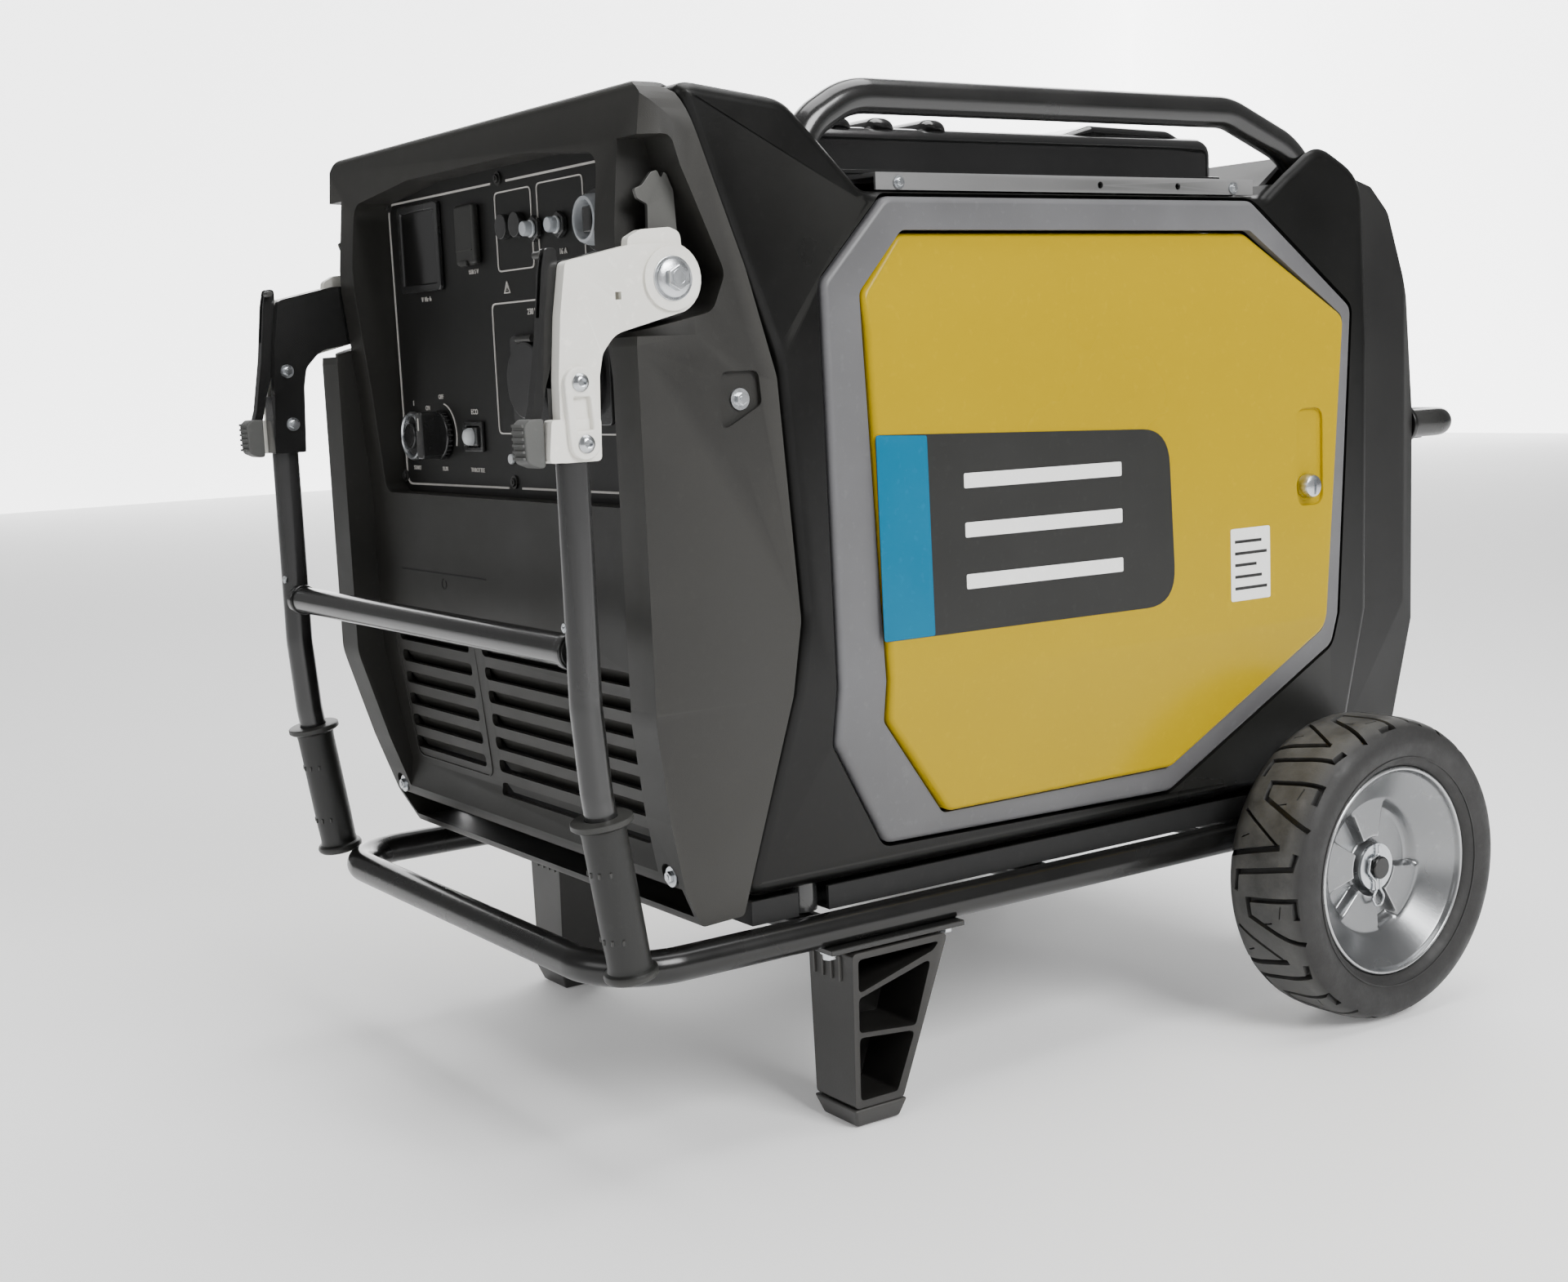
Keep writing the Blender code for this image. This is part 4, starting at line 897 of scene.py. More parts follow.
def build_panel_sockets():
    y = PANEL_Y
    cover = box((-0.0665, y - 0.0075, 0.651), (-0.0335, y - 0.0002, 0.698))
    soften(cover, 0.003, 3)
    tab = box((-0.0560, y - 0.0095, 0.6500), (-0.0440, y - 0.0060, 0.6545))
    lid_line = box((-0.0640, y - 0.0082, 0.6620), (-0.0360, y - 0.0070, 0.6628))
    done(merge(cover, soften(tab, 0.001, 2), lid_line), "usb_cover", "grip", "chassis")
    for index, x in enumerate((0.0120, 0.0345)):
        ring = cylinder("y", (x, 0.676), 0.0095, y - 0.0065, y - 0.0002, 40)
        cut(ring, cylinder("y", (x, 0.676), 0.0060, y - 0.02, y - 0.0020, 32))
        cross = [box((x - a, y - 0.0045, 0.676 - b), (x + a, y - 0.0018, 0.676 + b))
                 for a, b in ((0.0052, 0.0013), (0.0013, 0.0052))]
        done(merge(soften(ring, 0.0009, 2), *cross), "parallel_socket_%d" % (index + 1), "button", "chassis")
    bulb = cylinder("y", (0.0, 0.500), 0.0040, y - 0.0035, y - 0.0002, 28)
    done(bulb, "output_lamp", "bulb", "chassis", edge=0.0010)


def build_outlets():
    y = PANEL_Y
    for index, (x, z) in enumerate(OUTLETS):
        plate = rounded([(x - 0.034, z - 0.034), (x + 0.034, z - 0.034), (x + 0.034, z + 0.034), (x - 0.034, z + 0.034)],
                        0.006, 5)
        base = prism("y", plate, y - 0.0035, y - 0.0003)
        soften(base, 0.0010, 2)
        ring = cylinder("y", (x, z), 0.029, y - 0.0105, y - 0.0020, 72)
        cut(ring, cylinder("y", (x, z), 0.0200, y - 0.03, y - 0.0030, 64))
        soften(ring, 0.0014, 3)
        keys = [box((x + s * 0.0180 - 0.0018, y - 0.0095, z - 0.0030), (x + s * 0.0180 + 0.0018, y - 0.0030, z + 0.0030))
                for s in (-1, 1)]
        core = cylinder("y", (x, z), 0.0192, y - 0.0034, y - 0.0024, 64)
        for s in (-1, 1):
            cut(core, cylinder("y", (x + s * 0.0095, z), 0.0026, y - 0.02, y - 0.0026, 20))
        screw = hex_bolt("y", (x, y - 0.0034, z), -1, 0.0018, 0.0026, 0.0012)
        lugs = [box((x - 0.0030, y - 0.0090, z + s * 0.0178 - 0.0020), (x + 0.0030, y - 0.0030, z + s * 0.0178 + 0.0020))
                for s in (-1, 1)]
        done(merge(base, ring, core, screw, *keys, *lugs), "ac_outlet_body_%d" % (index + 1), "button", "chassis",
             ["ac_outlet_%d" % (index + 1)])
        hinge = cylinder("x", (y - 0.0075, z + 0.0310), 0.0030, x - 0.012, x + 0.012, 24)
        done(hinge, "ac_outlet_hinge_%d" % (index + 1), "steel", "chassis", edge=0.0006)


def build_switches():
    y = PANEL_Y
    x, z = START
    cap = cylinder("y", (x, z), 0.0108, y - 0.0060, y + 0.0100, 56)
    soften(cap, 0.0012, 3)
    dish = cylinder("y", (x, z), 0.0080, y - 0.0064, y - 0.0055, 48)
    done(merge(cap, soften(dish, 0.0003, 2)), "start_button_cap", "button", "starter", ["start_button"])
    well = cylinder("y", (x, z), 0.0172, y - 0.0024, y - 0.0002, 64)
    cut(well, cylinder("y", (x, z), 0.0113, y - 0.02, y + 0.02, 56))
    done(well, "start_button_well", "button", "chassis", edge=0.0005)
    collar = lathe([(0.0168, 0.0002), (0.0205, 0.0002), (0.0205, 0.0034), (0.0197, 0.0050), (0.0187, 0.0055),
                    (0.0176, 0.0050), (0.0168, 0.0036)], (x, y, z), "y", 80, -1)
    done(collar, "start_button_ring", "zinc", "chassis", smooth=60)
    x, z = ENGINE_SWITCH
    disc = cylinder("y", (x, z), 0.0195, y - 0.0060, y - 0.0004, 64)
    soften(disc, 0.0016, 3)
    flutes = [box((x + 0.0195 * math.cos(a) - 0.0006, y - 0.0052, z + 0.0195 * math.sin(a) - 0.0006),
                  (x + 0.0195 * math.cos(a) + 0.0006, y - 0.0010, z + 0.0195 * math.sin(a) + 0.0006))
              for a in [2 * math.pi * k / 28 for k in range(28)]]
    outline = rounded([(x - 0.0065, z - 0.0190), (x + 0.0065, z - 0.0190), (x + 0.0055, z + 0.0195),
                       (x - 0.0055, z + 0.0195)], 0.0035, 4)
    bar = prism("y", outline, y - 0.0220, y - 0.0045)
    soften(bar, 0.0014, 3)
    done(merge(disc, bar, *flutes), "engine_knob", "button", "engine_switch", ["engine_switch_knob"])
    pointer = box((x - 0.0008, y - 0.0224, z + 0.0045), (x + 0.0008, y - 0.0216, z + 0.0145))
    done(pointer, "engine_knob_line", "print", "engine_switch", edge=0.0002)
    x, z = ECO
    bezel = box((x - 0.0165, y - 0.0030, z - 0.0120), (x + 0.0165, y - 0.0002, z + 0.0120))
    cut(bezel, box((x - 0.0124, y - 0.02, z - 0.0083), (x + 0.0124, y + 0.02, z + 0.0083)))
    done(bezel, "eco_bezel", "button", "chassis", edge=0.0008)
    rocker = prism("z", [(x - 0.0113, y + 0.0055), (x + 0.0113, y + 0.0055), (x + 0.0113, y - 0.0050),
                         (x, y - 0.0036), (x - 0.0113, y - 0.0064)], z - 0.0075, z + 0.0075)
    done(rocker, "eco_rocker", "button", "throttle_switch", ["eco_switch"], edge=0.0008)
    lens = lathe([(0.00001, 0.0030), (0.0070, 0.0030), (0.0070, 0.0062), (0.0058, 0.0090), (0.0034, 0.0104),
                  (0.00001, 0.0108)], (x - 0.0010, y, z), "y", 40, -1)
    done(lens, "eco_lens", "bulb", "throttle_switch", smooth=70)


def build_breakers():
    y = PANEL_Y
    for index, (x, z) in enumerate(BREAKERS):
        nut = cylinder("y", (x, z), 0.0100, y - 0.0045, y - 0.0002, 6)
        cut(nut, cylinder("y", (x, z), 0.0068, y - 0.02, y + 0.02, 32))
        done(nut, "breaker_nut_%d" % (index + 1), "button", "chassis", edge=0.0008)
        profile = [(0.0, -0.002), (0.0056, -0.002), (0.0056, 0.0118), (0.0050, 0.0126), (0.0, 0.0126)]
        cap = lathe([(max(r, 0.00001), a) for r, a in profile], (x, y, z), "y", 40, -1)
        rim = cylinder("y", (x, z), 0.0064, y - 0.0066, y - 0.0048, 40)
        soften(rim, 0.0006, 2)
        done(merge(cap, rim), "breaker_cap_%d" % (index + 1), "clear", "breaker_%d" % (index + 1),
             ["breaker_button_%d" % (index + 1)])
        stem = cylinder("y", (x, z), 0.0034, y - 0.0095, y + 0.0060, 28)
        done(stem, "breaker_stem_%d" % (index + 1), "bulb", "breaker_%d" % (index + 1), edge=0.0006)
    x, z = MAIN
    boot = lathe([(0.0130, 0.000), (0.0183, 0.000), (0.0183, 0.0040), (0.0176, 0.0120), (0.0160, 0.0150),
                  (0.0140, 0.0154), (0.0128, 0.0140)], (x, y, z), "y", 72, -1)
    done(boot, "main_breaker_boot", "clear", "main_breaker_push", ["main_breaker"], smooth=50)
    lever = box((x - 0.0060, y - 0.0130, z - 0.0095), (x + 0.0060, y + 0.0050, z + 0.0095))
    soften(lever, 0.0018, 3)
    plate = cylinder("y", (x, z), 0.0128, y - 0.0030, y + 0.0050, 48)
    done(merge(lever, soften(plate, 0.0008, 2)), "main_breaker_toggle", "button", "main_breaker_push")
    collar = cylinder("y", (x, z), 0.0225, y - 0.0040, y - 0.0002, 72)
    cut(collar, cylinder("y", (x, z), 0.0187, y - 0.02, y + 0.02, 64))
    done(collar, "main_breaker_collar", "button", "chassis", edge=0.0012)


def build_cover_details():
    for side, sign in SIDES:
        bolt = hex_bolt("x", (sign * 0.2672, -0.3130, 0.5420), sign, 0.0046, 0.0074, 0.0042)
        done(bolt, side + "_cover_bolt", "zinc", "chassis")
        low = hex_bolt("y", (sign * 0.2270, -0.3605, 0.2120), -1, 0.0046, 0.0074, 0.0042)
        done(low, side + "_cover_low_bolt", "zinc", "chassis")


# ---------------------------------------------------------------- sides
def lean_x(z, offset=0.0):
    """Distance of the body's side from the middle plane at a height."""
    return 0.2665 + offset - 0.2114 * max(0.0, WAIST_Z - z)


def build_shrouds():
    for side, sign in SIDES:
        outline = list(SHROUD_YZ)
        outer = rounded(outline, [0.012, 0.06, 0.05, 0.014, 0.014, 0.06, 0.040, 0.034, 0.014, 0.012, 0.016, 0.034], 7)
        shell = pillow(sign, outer, 0.2272, lean_x, 0.0095, (WAIST_Z,), 6)
        inner = rounded(inset(outline, 0.0045), [0.012, 0.05, 0.05, 0.010, 0.010, 0.05, 0.025, 0.018, 0.01, 0.01, 0.012,
                                                  0.024], 5)
        cut(shell, pillow(sign, inner, 0.20, lambda z: lean_x(z, -0.0045), 0.0060, (WAIST_Z,), 3))
        seal = rounded(inset(list(SEAL_YZ), -0.0028), 0.016, 5)
        cut(shell, side_prism(sign, seal, 0.20, 0.30))
        cut(shell, side_box(sign, 0.20, 0.2612, (-0.236, 0.240), (0.696, 0.76)))
        front_cut = ((-0.275, 0.700), (-0.275, 0.76), (-0.19, 0.80), (-0.19, 0.715), (-0.225, 0.690))
        cut(shell, side_prism(sign, front_cut, 0.2200, 0.2612))
        rear_cut = ((0.16, 0.78), (0.16, 0.700), (0.225, 0.690), (0.295, 0.660), (0.295, 0.78))
        cut(shell, side_prism(sign, rear_cut, 0.2200, 0.2612))
        soften(shell, 0.0018, 2, 34)
        done(shell, side + "_side_shroud", "shroud", "chassis", [side + "_shroud"], smooth=38)


def build_seals():
    for side, sign in SIDES:
        outer = rounded(list(SEAL_YZ), 0.014, 6)
        inner = rounded(inset(list(DOOR_YZ), -0.0016), 0.009, 6)
        ring = pillow(sign, outer, 0.2200, lambda z: lean_x(z, 0.0025), 0.0050, (WAIST_Z,), 4)
        cut(ring, side_prism(sign, inner, 0.20, 0.30))
        cut(ring, pillow(sign, rounded(list(SEAL_YZ), 0.014, 6), 0.10, lambda z: lean_x(z, -0.0045), 0.0005, (WAIST_Z,), 1))
        soften(ring, 0.0020, 3, 34)
        done(ring, side + "_bezel", "seal", "chassis", [side + "_door_seal"], smooth=45)


DOOR_FACE = ((0.226, 0.2525), (0.337, 0.2735), (0.585, 0.2735), (0.653, 0.2640))


def door_x(z, offset=0.0):
    """Distance of the door's outer skin from the middle plane at a height."""
    for (z0, x0), (z1, x1) in zip(DOOR_FACE, DOOR_FACE[1:]):
        if z <= z1:
            return offset + x0 + (x1 - x0) * (z - z0) / (z1 - z0)
    return offset + DOOR_FACE[-1][1]


def on_door(sign, outline, low=0.0, high=0.0006):
    """Thin sheet lying on the door's flat middle."""
    return side_prism(sign, outline, 0.2735 + low, 0.2735 + high)


def build_doors():
    for side, sign in SIDES:
        body = side + "_side_door"
        outline = rounded(list(DOOR_YZ), [0.012, 0.012, 0.016, 0.014, 0.016, 0.016, 0.014, 0.014], 6)
        pan = pillow(sign, outline, 0.2360, door_x, 0.0045, (0.337, 0.585), 5)
        back = rounded(list(DOOR_YZ), 0.010, 5)
        trim = pillow(sign, back, 0.10, lambda z: 0.2565 if z > 0.337 else 0.2355 + (z - 0.226) * 0.189,
                      0.0002, (0.337,), 1)
        bm = bmesh.new()
        bm.from_mesh(trim.data)
        for vert in bm.verts:
            vert.co.y = 0.05 + (vert.co.y - 0.05) * 1.05
            vert.co.z = 0.44 + (vert.co.z - 0.44) * 1.05
        bm.to_mesh(trim.data)
        bm.free()
        cut(pan, trim)
        hollow = pillow(sign, inset(outline, 0.004), 0.10, lambda z: door_x(z, -0.004), 0.003, (0.337, 0.585), 3)
        cut(pan, hollow)
        slot_line = rounded([(0.2280, 0.430), (0.2590, 0.430), (0.2590, 0.510), (0.2280, 0.510)], 0.0100, 6)
        recess = side_prism(sign, slot_line, 0.2700, 0.32)
        tub = side_prism(sign, [(a, b) for a, b in rounded([(0.2250, 0.427), (0.2620, 0.427), (0.2620, 0.513),
                                                            (0.2250, 0.513)], 0.012, 6)], 0.2664, 0.2712)
        join(pan, tub)
        cut(pan, recess)
        cut(pan, side_cylinder(sign, LATCH, 0.0045, 0.20, 0.32, 24))
        soften(pan, 0.0013, 3, 40)
        done(pan, side + "_door_skin", "door", body, [side + "_door"], smooth=25)
        knob = lathe([(0.00001, 0.262), (0.0042, 0.262), (0.0042, 0.2706), (0.0100, 0.2710), (0.0102, 0.2760),
                      (0.0088, 0.2796), (0.0066, 0.2808), (0.00001, 0.2812)], (0.0, LATCH[0], LATCH[1]), "x", 48, sign)
        cut(knob, side_box(sign, 0.2796, 0.30, (LATCH[0] - 0.0012, LATCH[0] + 0.0012),
                           (LATCH[1] - 0.0070, LATCH[1] + 0.0070)))
        done(knob, side + "_latch_knob", "zinc", side + "_latch", [side + "_door_knob"], edge=0.0004, segments=2)
        panel = rounded([(-0.2034, 0.3642), (0.0868, 0.3625), (0.081, 0.5015), (-0.2048, 0.5119)],
                        [0.004, 0.03, 0.03, 0.004], 8)
        done(on_door(sign, panel), side + "_door_decal", "decal", body, edge=0.0002, segments=2)
        strip = rounded([(-0.2032, 0.3644), (-0.1570, 0.3642), (-0.1590, 0.5093), (-0.2046, 0.5117)], 0.002, 3)
        done(on_door(sign, strip, 0.0004, 0.0009), side + "_decal_strip", "cyan", body,
             edge=0.0002, segments=2)
        mark = []
        for low, high in ((0.4690, 0.4800), (0.4330, 0.4440), (0.3950, 0.4060)):
            bar = rounded([(-0.126, low), (0.030, low - 0.001), (0.030, high - 0.001), (-0.126, high)], 0.0015, 3)
            mark.append(on_door(sign, bar, 0.0004, 0.0009))
        done(merge(*mark), side + "_decal_mark", "white", body, edge=0.0002, segments=2)
        label = rounded([(0.1486, 0.358), (0.194, 0.358), (0.194, 0.417), (0.1486, 0.417)], 0.002, 3)
        done(on_door(sign, label), side + "_door_label", "white", body, edge=0.0002, segments=2)
        lines = []
        for k in range(5):
            y, z = 0.190 - 0.006 * (k % 3), 0.367 + 0.0095 * k
            lines.append(on_door(sign, ((0.153, z), (y, z), (y, z + 0.0025), (0.153, z + 0.0025)), 0.0004, 0.0009))
        done(merge(*lines), side + "_door_label_lines", "decal", body, edge=0.0002, segments=1)


# ---------------------------------------------------------------- handles
def bracket_outline(grow=0.0, slim=0.0):
    round_end = arc(PIVOT, 0.0235 + grow, -66, 96, 14)
    rest = [(-0.392, 0.6450), (-0.4400, 0.6345), (-0.4455, 0.600), (-0.4490, 0.560), (-0.4500, 0.507),
            (-0.4215 - slim, 0.507), (-0.4190 - slim, 0.562), (-0.4160 - slim, 0.576 + slim / 2),
            (-0.4060, 0.588 + slim)]
    rest_round = rounded(round_end[-1:] + rest + round_end[:1], [0, 0.03, 0.005, 0.03, 0.03, 0.003, 0.003, 0.02, 0.012,
                                                                 0.02, 0], 5)
    return round_end[1:-1] + rest_round


def build_brackets():
    for side, sign in SIDES:
        outer = side_prism(sign, bracket_outline(), 0.2560, 0.2665)
        tab = rounded([(-0.3945, 0.630), (-0.350, 0.630), (-0.352, 0.6535), (-0.360, 0.6565), (-0.382, 0.6550),
                       (-0.3915, 0.6500)], [0, 0, 0.006, 0.006, 0.006, 0.004], 4)
        join(outer, side_prism(sign, tab, 0.2560, 0.2640))
        join(outer, side_cylinder(sign, PIVOT, 0.0210, 0.262, 0.2690, 64))
        foot = rounded([(-0.4590, 0.5073), (-0.4210, 0.5073), (-0.4200, 0.5350), (-0.4560, 0.5350)], 0.003, 3)
        join(outer, side_prism(sign, foot, 0.2560, 0.2670))
        cut(outer, side_cylinder(sign, PIVOT, 0.0155, 0.2675, 0.30, 56))
        cut(outer, side_cylinder(sign, PIVOT, 0.0065, 0.20, 0.30, 40))
        cut(outer, side_box(sign, 0.20, 0.30, (-0.4045, -0.4000), (0.6100, 0.6150)))
        soften(outer, 0.0022, 4, 30)
        boss_line = arc((-0.4362, 0.5570), 0.0112, 0, 180, 12) + arc((-0.4340, 0.5195), 0.0112, 180, 360, 12)
        boss = side_prism(sign, boss_line, 0.2640, 0.2712)
        window = [(-0.4405, 0.5275), (-0.4280, 0.5275), (-0.4295, 0.5490), (-0.4415, 0.5490)]
        cut(boss, side_prism(sign, window, 0.2662, 0.30))
        soften(boss, 0.0013, 3, 30)
        done(merge(outer, boss), side + "_bracket_casting", "ivory", "handle", [side + "_bracket_outer"],
             smooth=40)
        for index, spot in enumerate(((-0.4362, 0.5580), (-0.4340, 0.5187))):
            screw = lathe([(0.00001, 0.2705), (0.0058, 0.2705), (0.0060, 0.2722), (0.0045, 0.2740), (0.0028, 0.2744),
                           (0.0028, 0.2724), (0.00001, 0.2724)], (0.0, *spot), "x", 40, sign)
            done(screw, "%s_bracket_screw_%d" % (side, index + 1), "zinc", "handle")
        inner = side_prism(sign, bracket_outline(-0.0006, 0.0035), 0.2385, 0.2470)
        join(inner, side_box(sign, 0.2385, 0.2557, (-0.4520, -0.4250), (0.5073, 0.5550)))
        join(inner, side_box(sign, 0.2385, 0.2557, (-0.4400, -0.4280), (0.5780, 0.5850)))
        cut(inner, side_cylinder(sign, PIVOT, 0.0065, 0.20, 0.30, 40))
        soften(inner, 0.0018, 3, 30)
        done(inner, side + "_bracket_shell", "black", "handle", [side + "_bracket_inner"], smooth=40)
        for index, spot in enumerate(((-0.4370, 0.5755), (-0.4350, 0.5310))):
            head = hex_bolt("x", (sign * 0.2385, *spot), -sign, 0.0038, 0.0056, 0.0036)
            done(head, "%s_shell_screw_%d" % (side, index + 1), "zinc", "handle")
        washer = side_cylinder(sign, PIVOT, 0.0148, 0.2678, 0.2700, 64)
        cut(washer, side_cylinder(sign, PIVOT, 0.0062, 0.20, 0.30, 40))
        soften(washer, 0.0006, 2)
        flange = lathe([(0.00001, 0.2358), (0.0060, 0.2358), (0.0060, 0.2700), (0.0125, 0.2702), (0.0122, 0.2714),
                        (0.0092, 0.2730), (0.00001, 0.2730)], (0.0, *PIVOT), "x", 56, sign)
        head = side_cylinder(sign, PIVOT, 0.0088, 0.2724, 0.2786, 6)
        soften(head, 0.0009, 2)
        ring = lathe([(0.0040, 0.2780), (0.0056, 0.2780), (0.0056, 0.2790), (0.0040, 0.2790)], (0.0, *PIVOT), "x", 40, sign)
        done(merge(washer, flange, head, ring), side + "_pivot_bolt_head", "zinc", "chassis", [side + "_pivot_bolt"],
             smooth=35)


def build_lock_plates():
    for side, sign in SIDES:
        outline = rounded([(-0.372, 0.603), (-0.352, 0.603), (-0.3465, 0.640), (-0.3485, 0.681), (-0.3530, 0.6915),
                           (-0.3552, 0.6935), (-0.3575, 0.6885), (-0.3605, 0.6945), (-0.3652, 0.6930), (-0.3725, 0.6845),
                           (-0.3785, 0.6820), (-0.3765, 0.6760), (-0.3690, 0.6720), (-0.3700, 0.640)], 0.002, 3)
        plate = side_prism(sign, outline, 0.2495, 0.2530)
        cut(plate, side_cylinder(sign, PIVOT, 0.0063, 0.20, 0.30, 32))
        done(plate, side + "_latch_plate", "steel", "chassis", [side + "_lock_plate"], edge=0.0006, segments=2)


def build_levers():
    for side, sign in SIDES:
        body = side + "_lever"
        strip = rounded([(-0.4400, 0.6440), (-0.4475, 0.6440), (-0.4505, 0.6300), (-0.4555, 0.5860), (-0.4625, 0.5440),
                         (-0.4650, 0.5360), (-0.4650, 0.5300), (-0.4595, 0.5300), (-0.4570, 0.5380), (-0.4528, 0.5560),
                         (-0.4480, 0.5700), (-0.4440, 0.6000), (-0.4400, 0.6350)],
                        [0.003, 0.003, 0.01, 0.02, 0.01, 0.002, 0.001, 0.001, 0.01, 0.02, 0.02, 0.02, 0.01], 4)
        arm = side_prism(sign, strip, 0.2473, 0.2557)
        cut(arm, side_box(sign, 0.2490, 0.2535, (-0.50, -0.40), (0.600, 0.66)))
        done(arm, side + "_lever_arm", "black", body, [side + "_release_lever"], edge=0.0009, smooth=40)
        pad_line = rounded([(-0.4588, 0.5360), (-0.4588, 0.5045), (-0.4640, 0.5045), (-0.4725, 0.5080), (-0.4735, 0.5320),
                            (-0.4690, 0.5360)], [0.002, 0.003, 0.004, 0.005, 0.005, 0.004], 4)
        pad = side_prism(sign, pad_line, 0.2440, 0.2620)
        soften(pad, 0.0014, 3, 30)
        ribs = [side_box(sign, 0.2456, 0.2606, (-0.4744, -0.4715), (0.5102 + 0.0042 * k, 0.5120 + 0.0042 * k))
                for k in range(6)]
        done(merge(pad, *ribs), side + "_lever_pad", "pad", body)
        pin = cylinder("x", LEVER_PIVOT, 0.0026, *span(sign * 0.2388, sign * 0.2485), 28)
        done(pin, side + "_lever_pin", "steel", "handle", edge=0.0007)


def build_handle_tubes():
    for side, sign in SIDES:
        x = sign * HANDLE_X
        bend, low = Vector((x, -0.4325, 0.285)), Vector((x, -0.4130, 0.1565))
        leg = tube([(x, HANDLE_Y, 0.5068), (x, HANDLE_Y, 0.345), tuple(bend), tuple(low)], HANDLE_R, bends=0.10, steps=14)
        done(leg, side + "_handle_leg", "black", "handle", [side + "_handle_tube"], smooth=50)
        lean = (bend - low).normalized()
        slope = math.atan2(-lean.y, lean.z)
        low = low + lean * 0.001
        length = 0.1140
        inner = HANDLE_R + 0.0003
        profile = [(inner, -0.0008), (0.0172, -0.0008), (0.0188, 0.0008), (0.0192, 0.0030), (0.0184, 0.0052),
                   (0.0160, 0.0064), (0.0152, 0.0100), (0.0155, 0.0300), (0.0155, length - 0.0120), (0.0160, length - 0.0070),
                   (0.0200, length - 0.0052), (0.0215, length - 0.0040), (0.0215, length - 0.0008), (0.0205, length),
                   (inner, length)]
        grip = lathe(profile, (0, 0, 0), "z", 72)
        ticks = []
        for height in (0.030, 0.078):
            for step in range(5):
                angle = math.radians(-150 + 30 * step)
                tick = cylinder("z", (0, 0), 0.0010, -0.0020, 0.0020, 12)
                soften(tick, 0.0004, 2)
                tick.data.transform(Matrix.Translation((0.0155 * math.cos(angle), 0.0155 * math.sin(angle), height))
                                    @ Matrix.Rotation(math.radians(14), 4, 'Y'))
                ticks.append(tick)
        merge(grip, *ticks)
        grip.data.transform(Matrix.Translation(low) @ Matrix.Rotation(slope, 4, 'X'))
        done(grip, side + "_hand_grip", "grip", "handle", [side + "_grip"], smooth=42)
        ferrule = cylinder("x", (HANDLE_Y, 0.3815), 0.0128, *span(sign * 0.2368, sign * 0.2450), 56)
        done(ferrule, side + "_bar_ferrule", "black", "handle", edge=0.0012)
        rivet = hex_bolt("y", (sign * (HANDLE_X - 0.0040), HANDLE_Y - 0.0098, 0.3990), -1, 0.0022, 0.0032, 0.0020)
        done(rivet, side + "_bar_bolt", "zinc", "handle")
    bar = cylinder("x", (HANDLE_Y, 0.3815), HANDLE_R, -HANDLE_X + 0.0085, HANDLE_X - 0.0085, 64)
    done(bar, "handle_bar", "black", "handle", ["handle_crossbar"], smooth=50)


# ---------------------------------------------------------------- wheels
TREAD = ((0.0880, 0.0100), (0.0905, 0.0062), (0.0960, 0.0030), (0.1050, 0.0004), (0.1120, 0.0010), (0.1182, 0.0036),
         (0.1226, 0.0090), (0.1252, 0.0150), (0.1264, 0.0210), (0.1270, 0.0280), (0.1270, 0.0560), (0.1264, 0.0630),
         (0.1252, 0.0690), (0.1226, 0.0750), (0.1182, 0.0804), (0.1120, 0.0830), (0.1050, 0.0836), (0.0960, 0.0810),
         (0.0905, 0.0778), (0.0880, 0.0740))
GROOVES = (
    (((0.0140, 0.0000), (0.0580, 0.0260)), 0.0036),
    (((0.0600, 0.0262), (0.0030, 0.0400)), 0.0058),
    (((0.0740, 0.0290), (0.0720, 0.0420), (0.0180, 0.0530), (0.0165, 0.0690)), 0.0054),
    (((0.0760, 0.0850), (0.0755, 0.0680), (0.0300, 0.0740), (0.0310, 0.0880), (0.0790, 0.1080)), 0.0050),
    (((0.0180, 0.0240), (0.0260, 0.0200)), 0.0013),
    (((0.0640, 0.0740), (0.0620, 0.0850)), 0.0013),
    (((0.0440, 0.0930), (0.0540, 0.0900)), 0.0013),
)


def tread_radius(along):
    """Height of the tread above the axle at a place across the tyre."""
    upper = [spot for spot in TREAD if spot[0] >= 0.1180]
    for (r0, a0), (r1, a1) in zip(upper, upper[1:]):
        if along <= a1:
            return r0 + (r1 - r0) * max(0.0, along - a0) / (a1 - a0)
    return upper[-1][0]


def groove(line, width, start, depth=0.0056):
    """Cutter for one groove drawn on the unrolled tread; start is the distance round the tyre."""
    fine = []
    for (a0, s0), (a1, s1) in zip(line, line[1:]):
        count = max(1, int(math.hypot(a1 - a0, s1 - s0) / 0.007))
        fine += [Vector((a0 + (a1 - a0) * k / count, s0 + (s1 - s0) * k / count)) for k in range(count)]
    fine.append(Vector(line[-1]))
    bm = bmesh.new()
    rows = []
    for index, here in enumerate(fine):
        first = (here - fine[index - 1]).normalized() if index else (fine[1] - here).normalized()
        second = (fine[index + 1] - here).normalized() if index + 1 < len(fine) else first
        n1, n2 = Vector((-first.y, first.x)), Vector((-second.y, second.x))
        across = (n1 + n2) / max(0.35, 1.0 + n1.dot(n2)) * width / 2
        row = []
        for spot, shift in ((here - across, 0.006), (here + across, 0.006), (here + across * 0.8, -depth),
                            (here - across * 0.8, -depth)):
            radius = tread_radius(spot.x) + shift
            angle = (start + spot.y) / WHEEL_R
            row.append(bm.verts.new((spot.x, radius * math.cos(angle), radius * math.sin(angle))))
        rows.append(row)
    for first, second in zip(rows, rows[1:]):
        for k in range(4):
            bm.faces.new((first[k], first[(k + 1) % 4], second[(k + 1) % 4], second[k]))
    bm.faces.new(rows[0])
    bm.faces.new(rows[-1])
    return from_bm(bm)


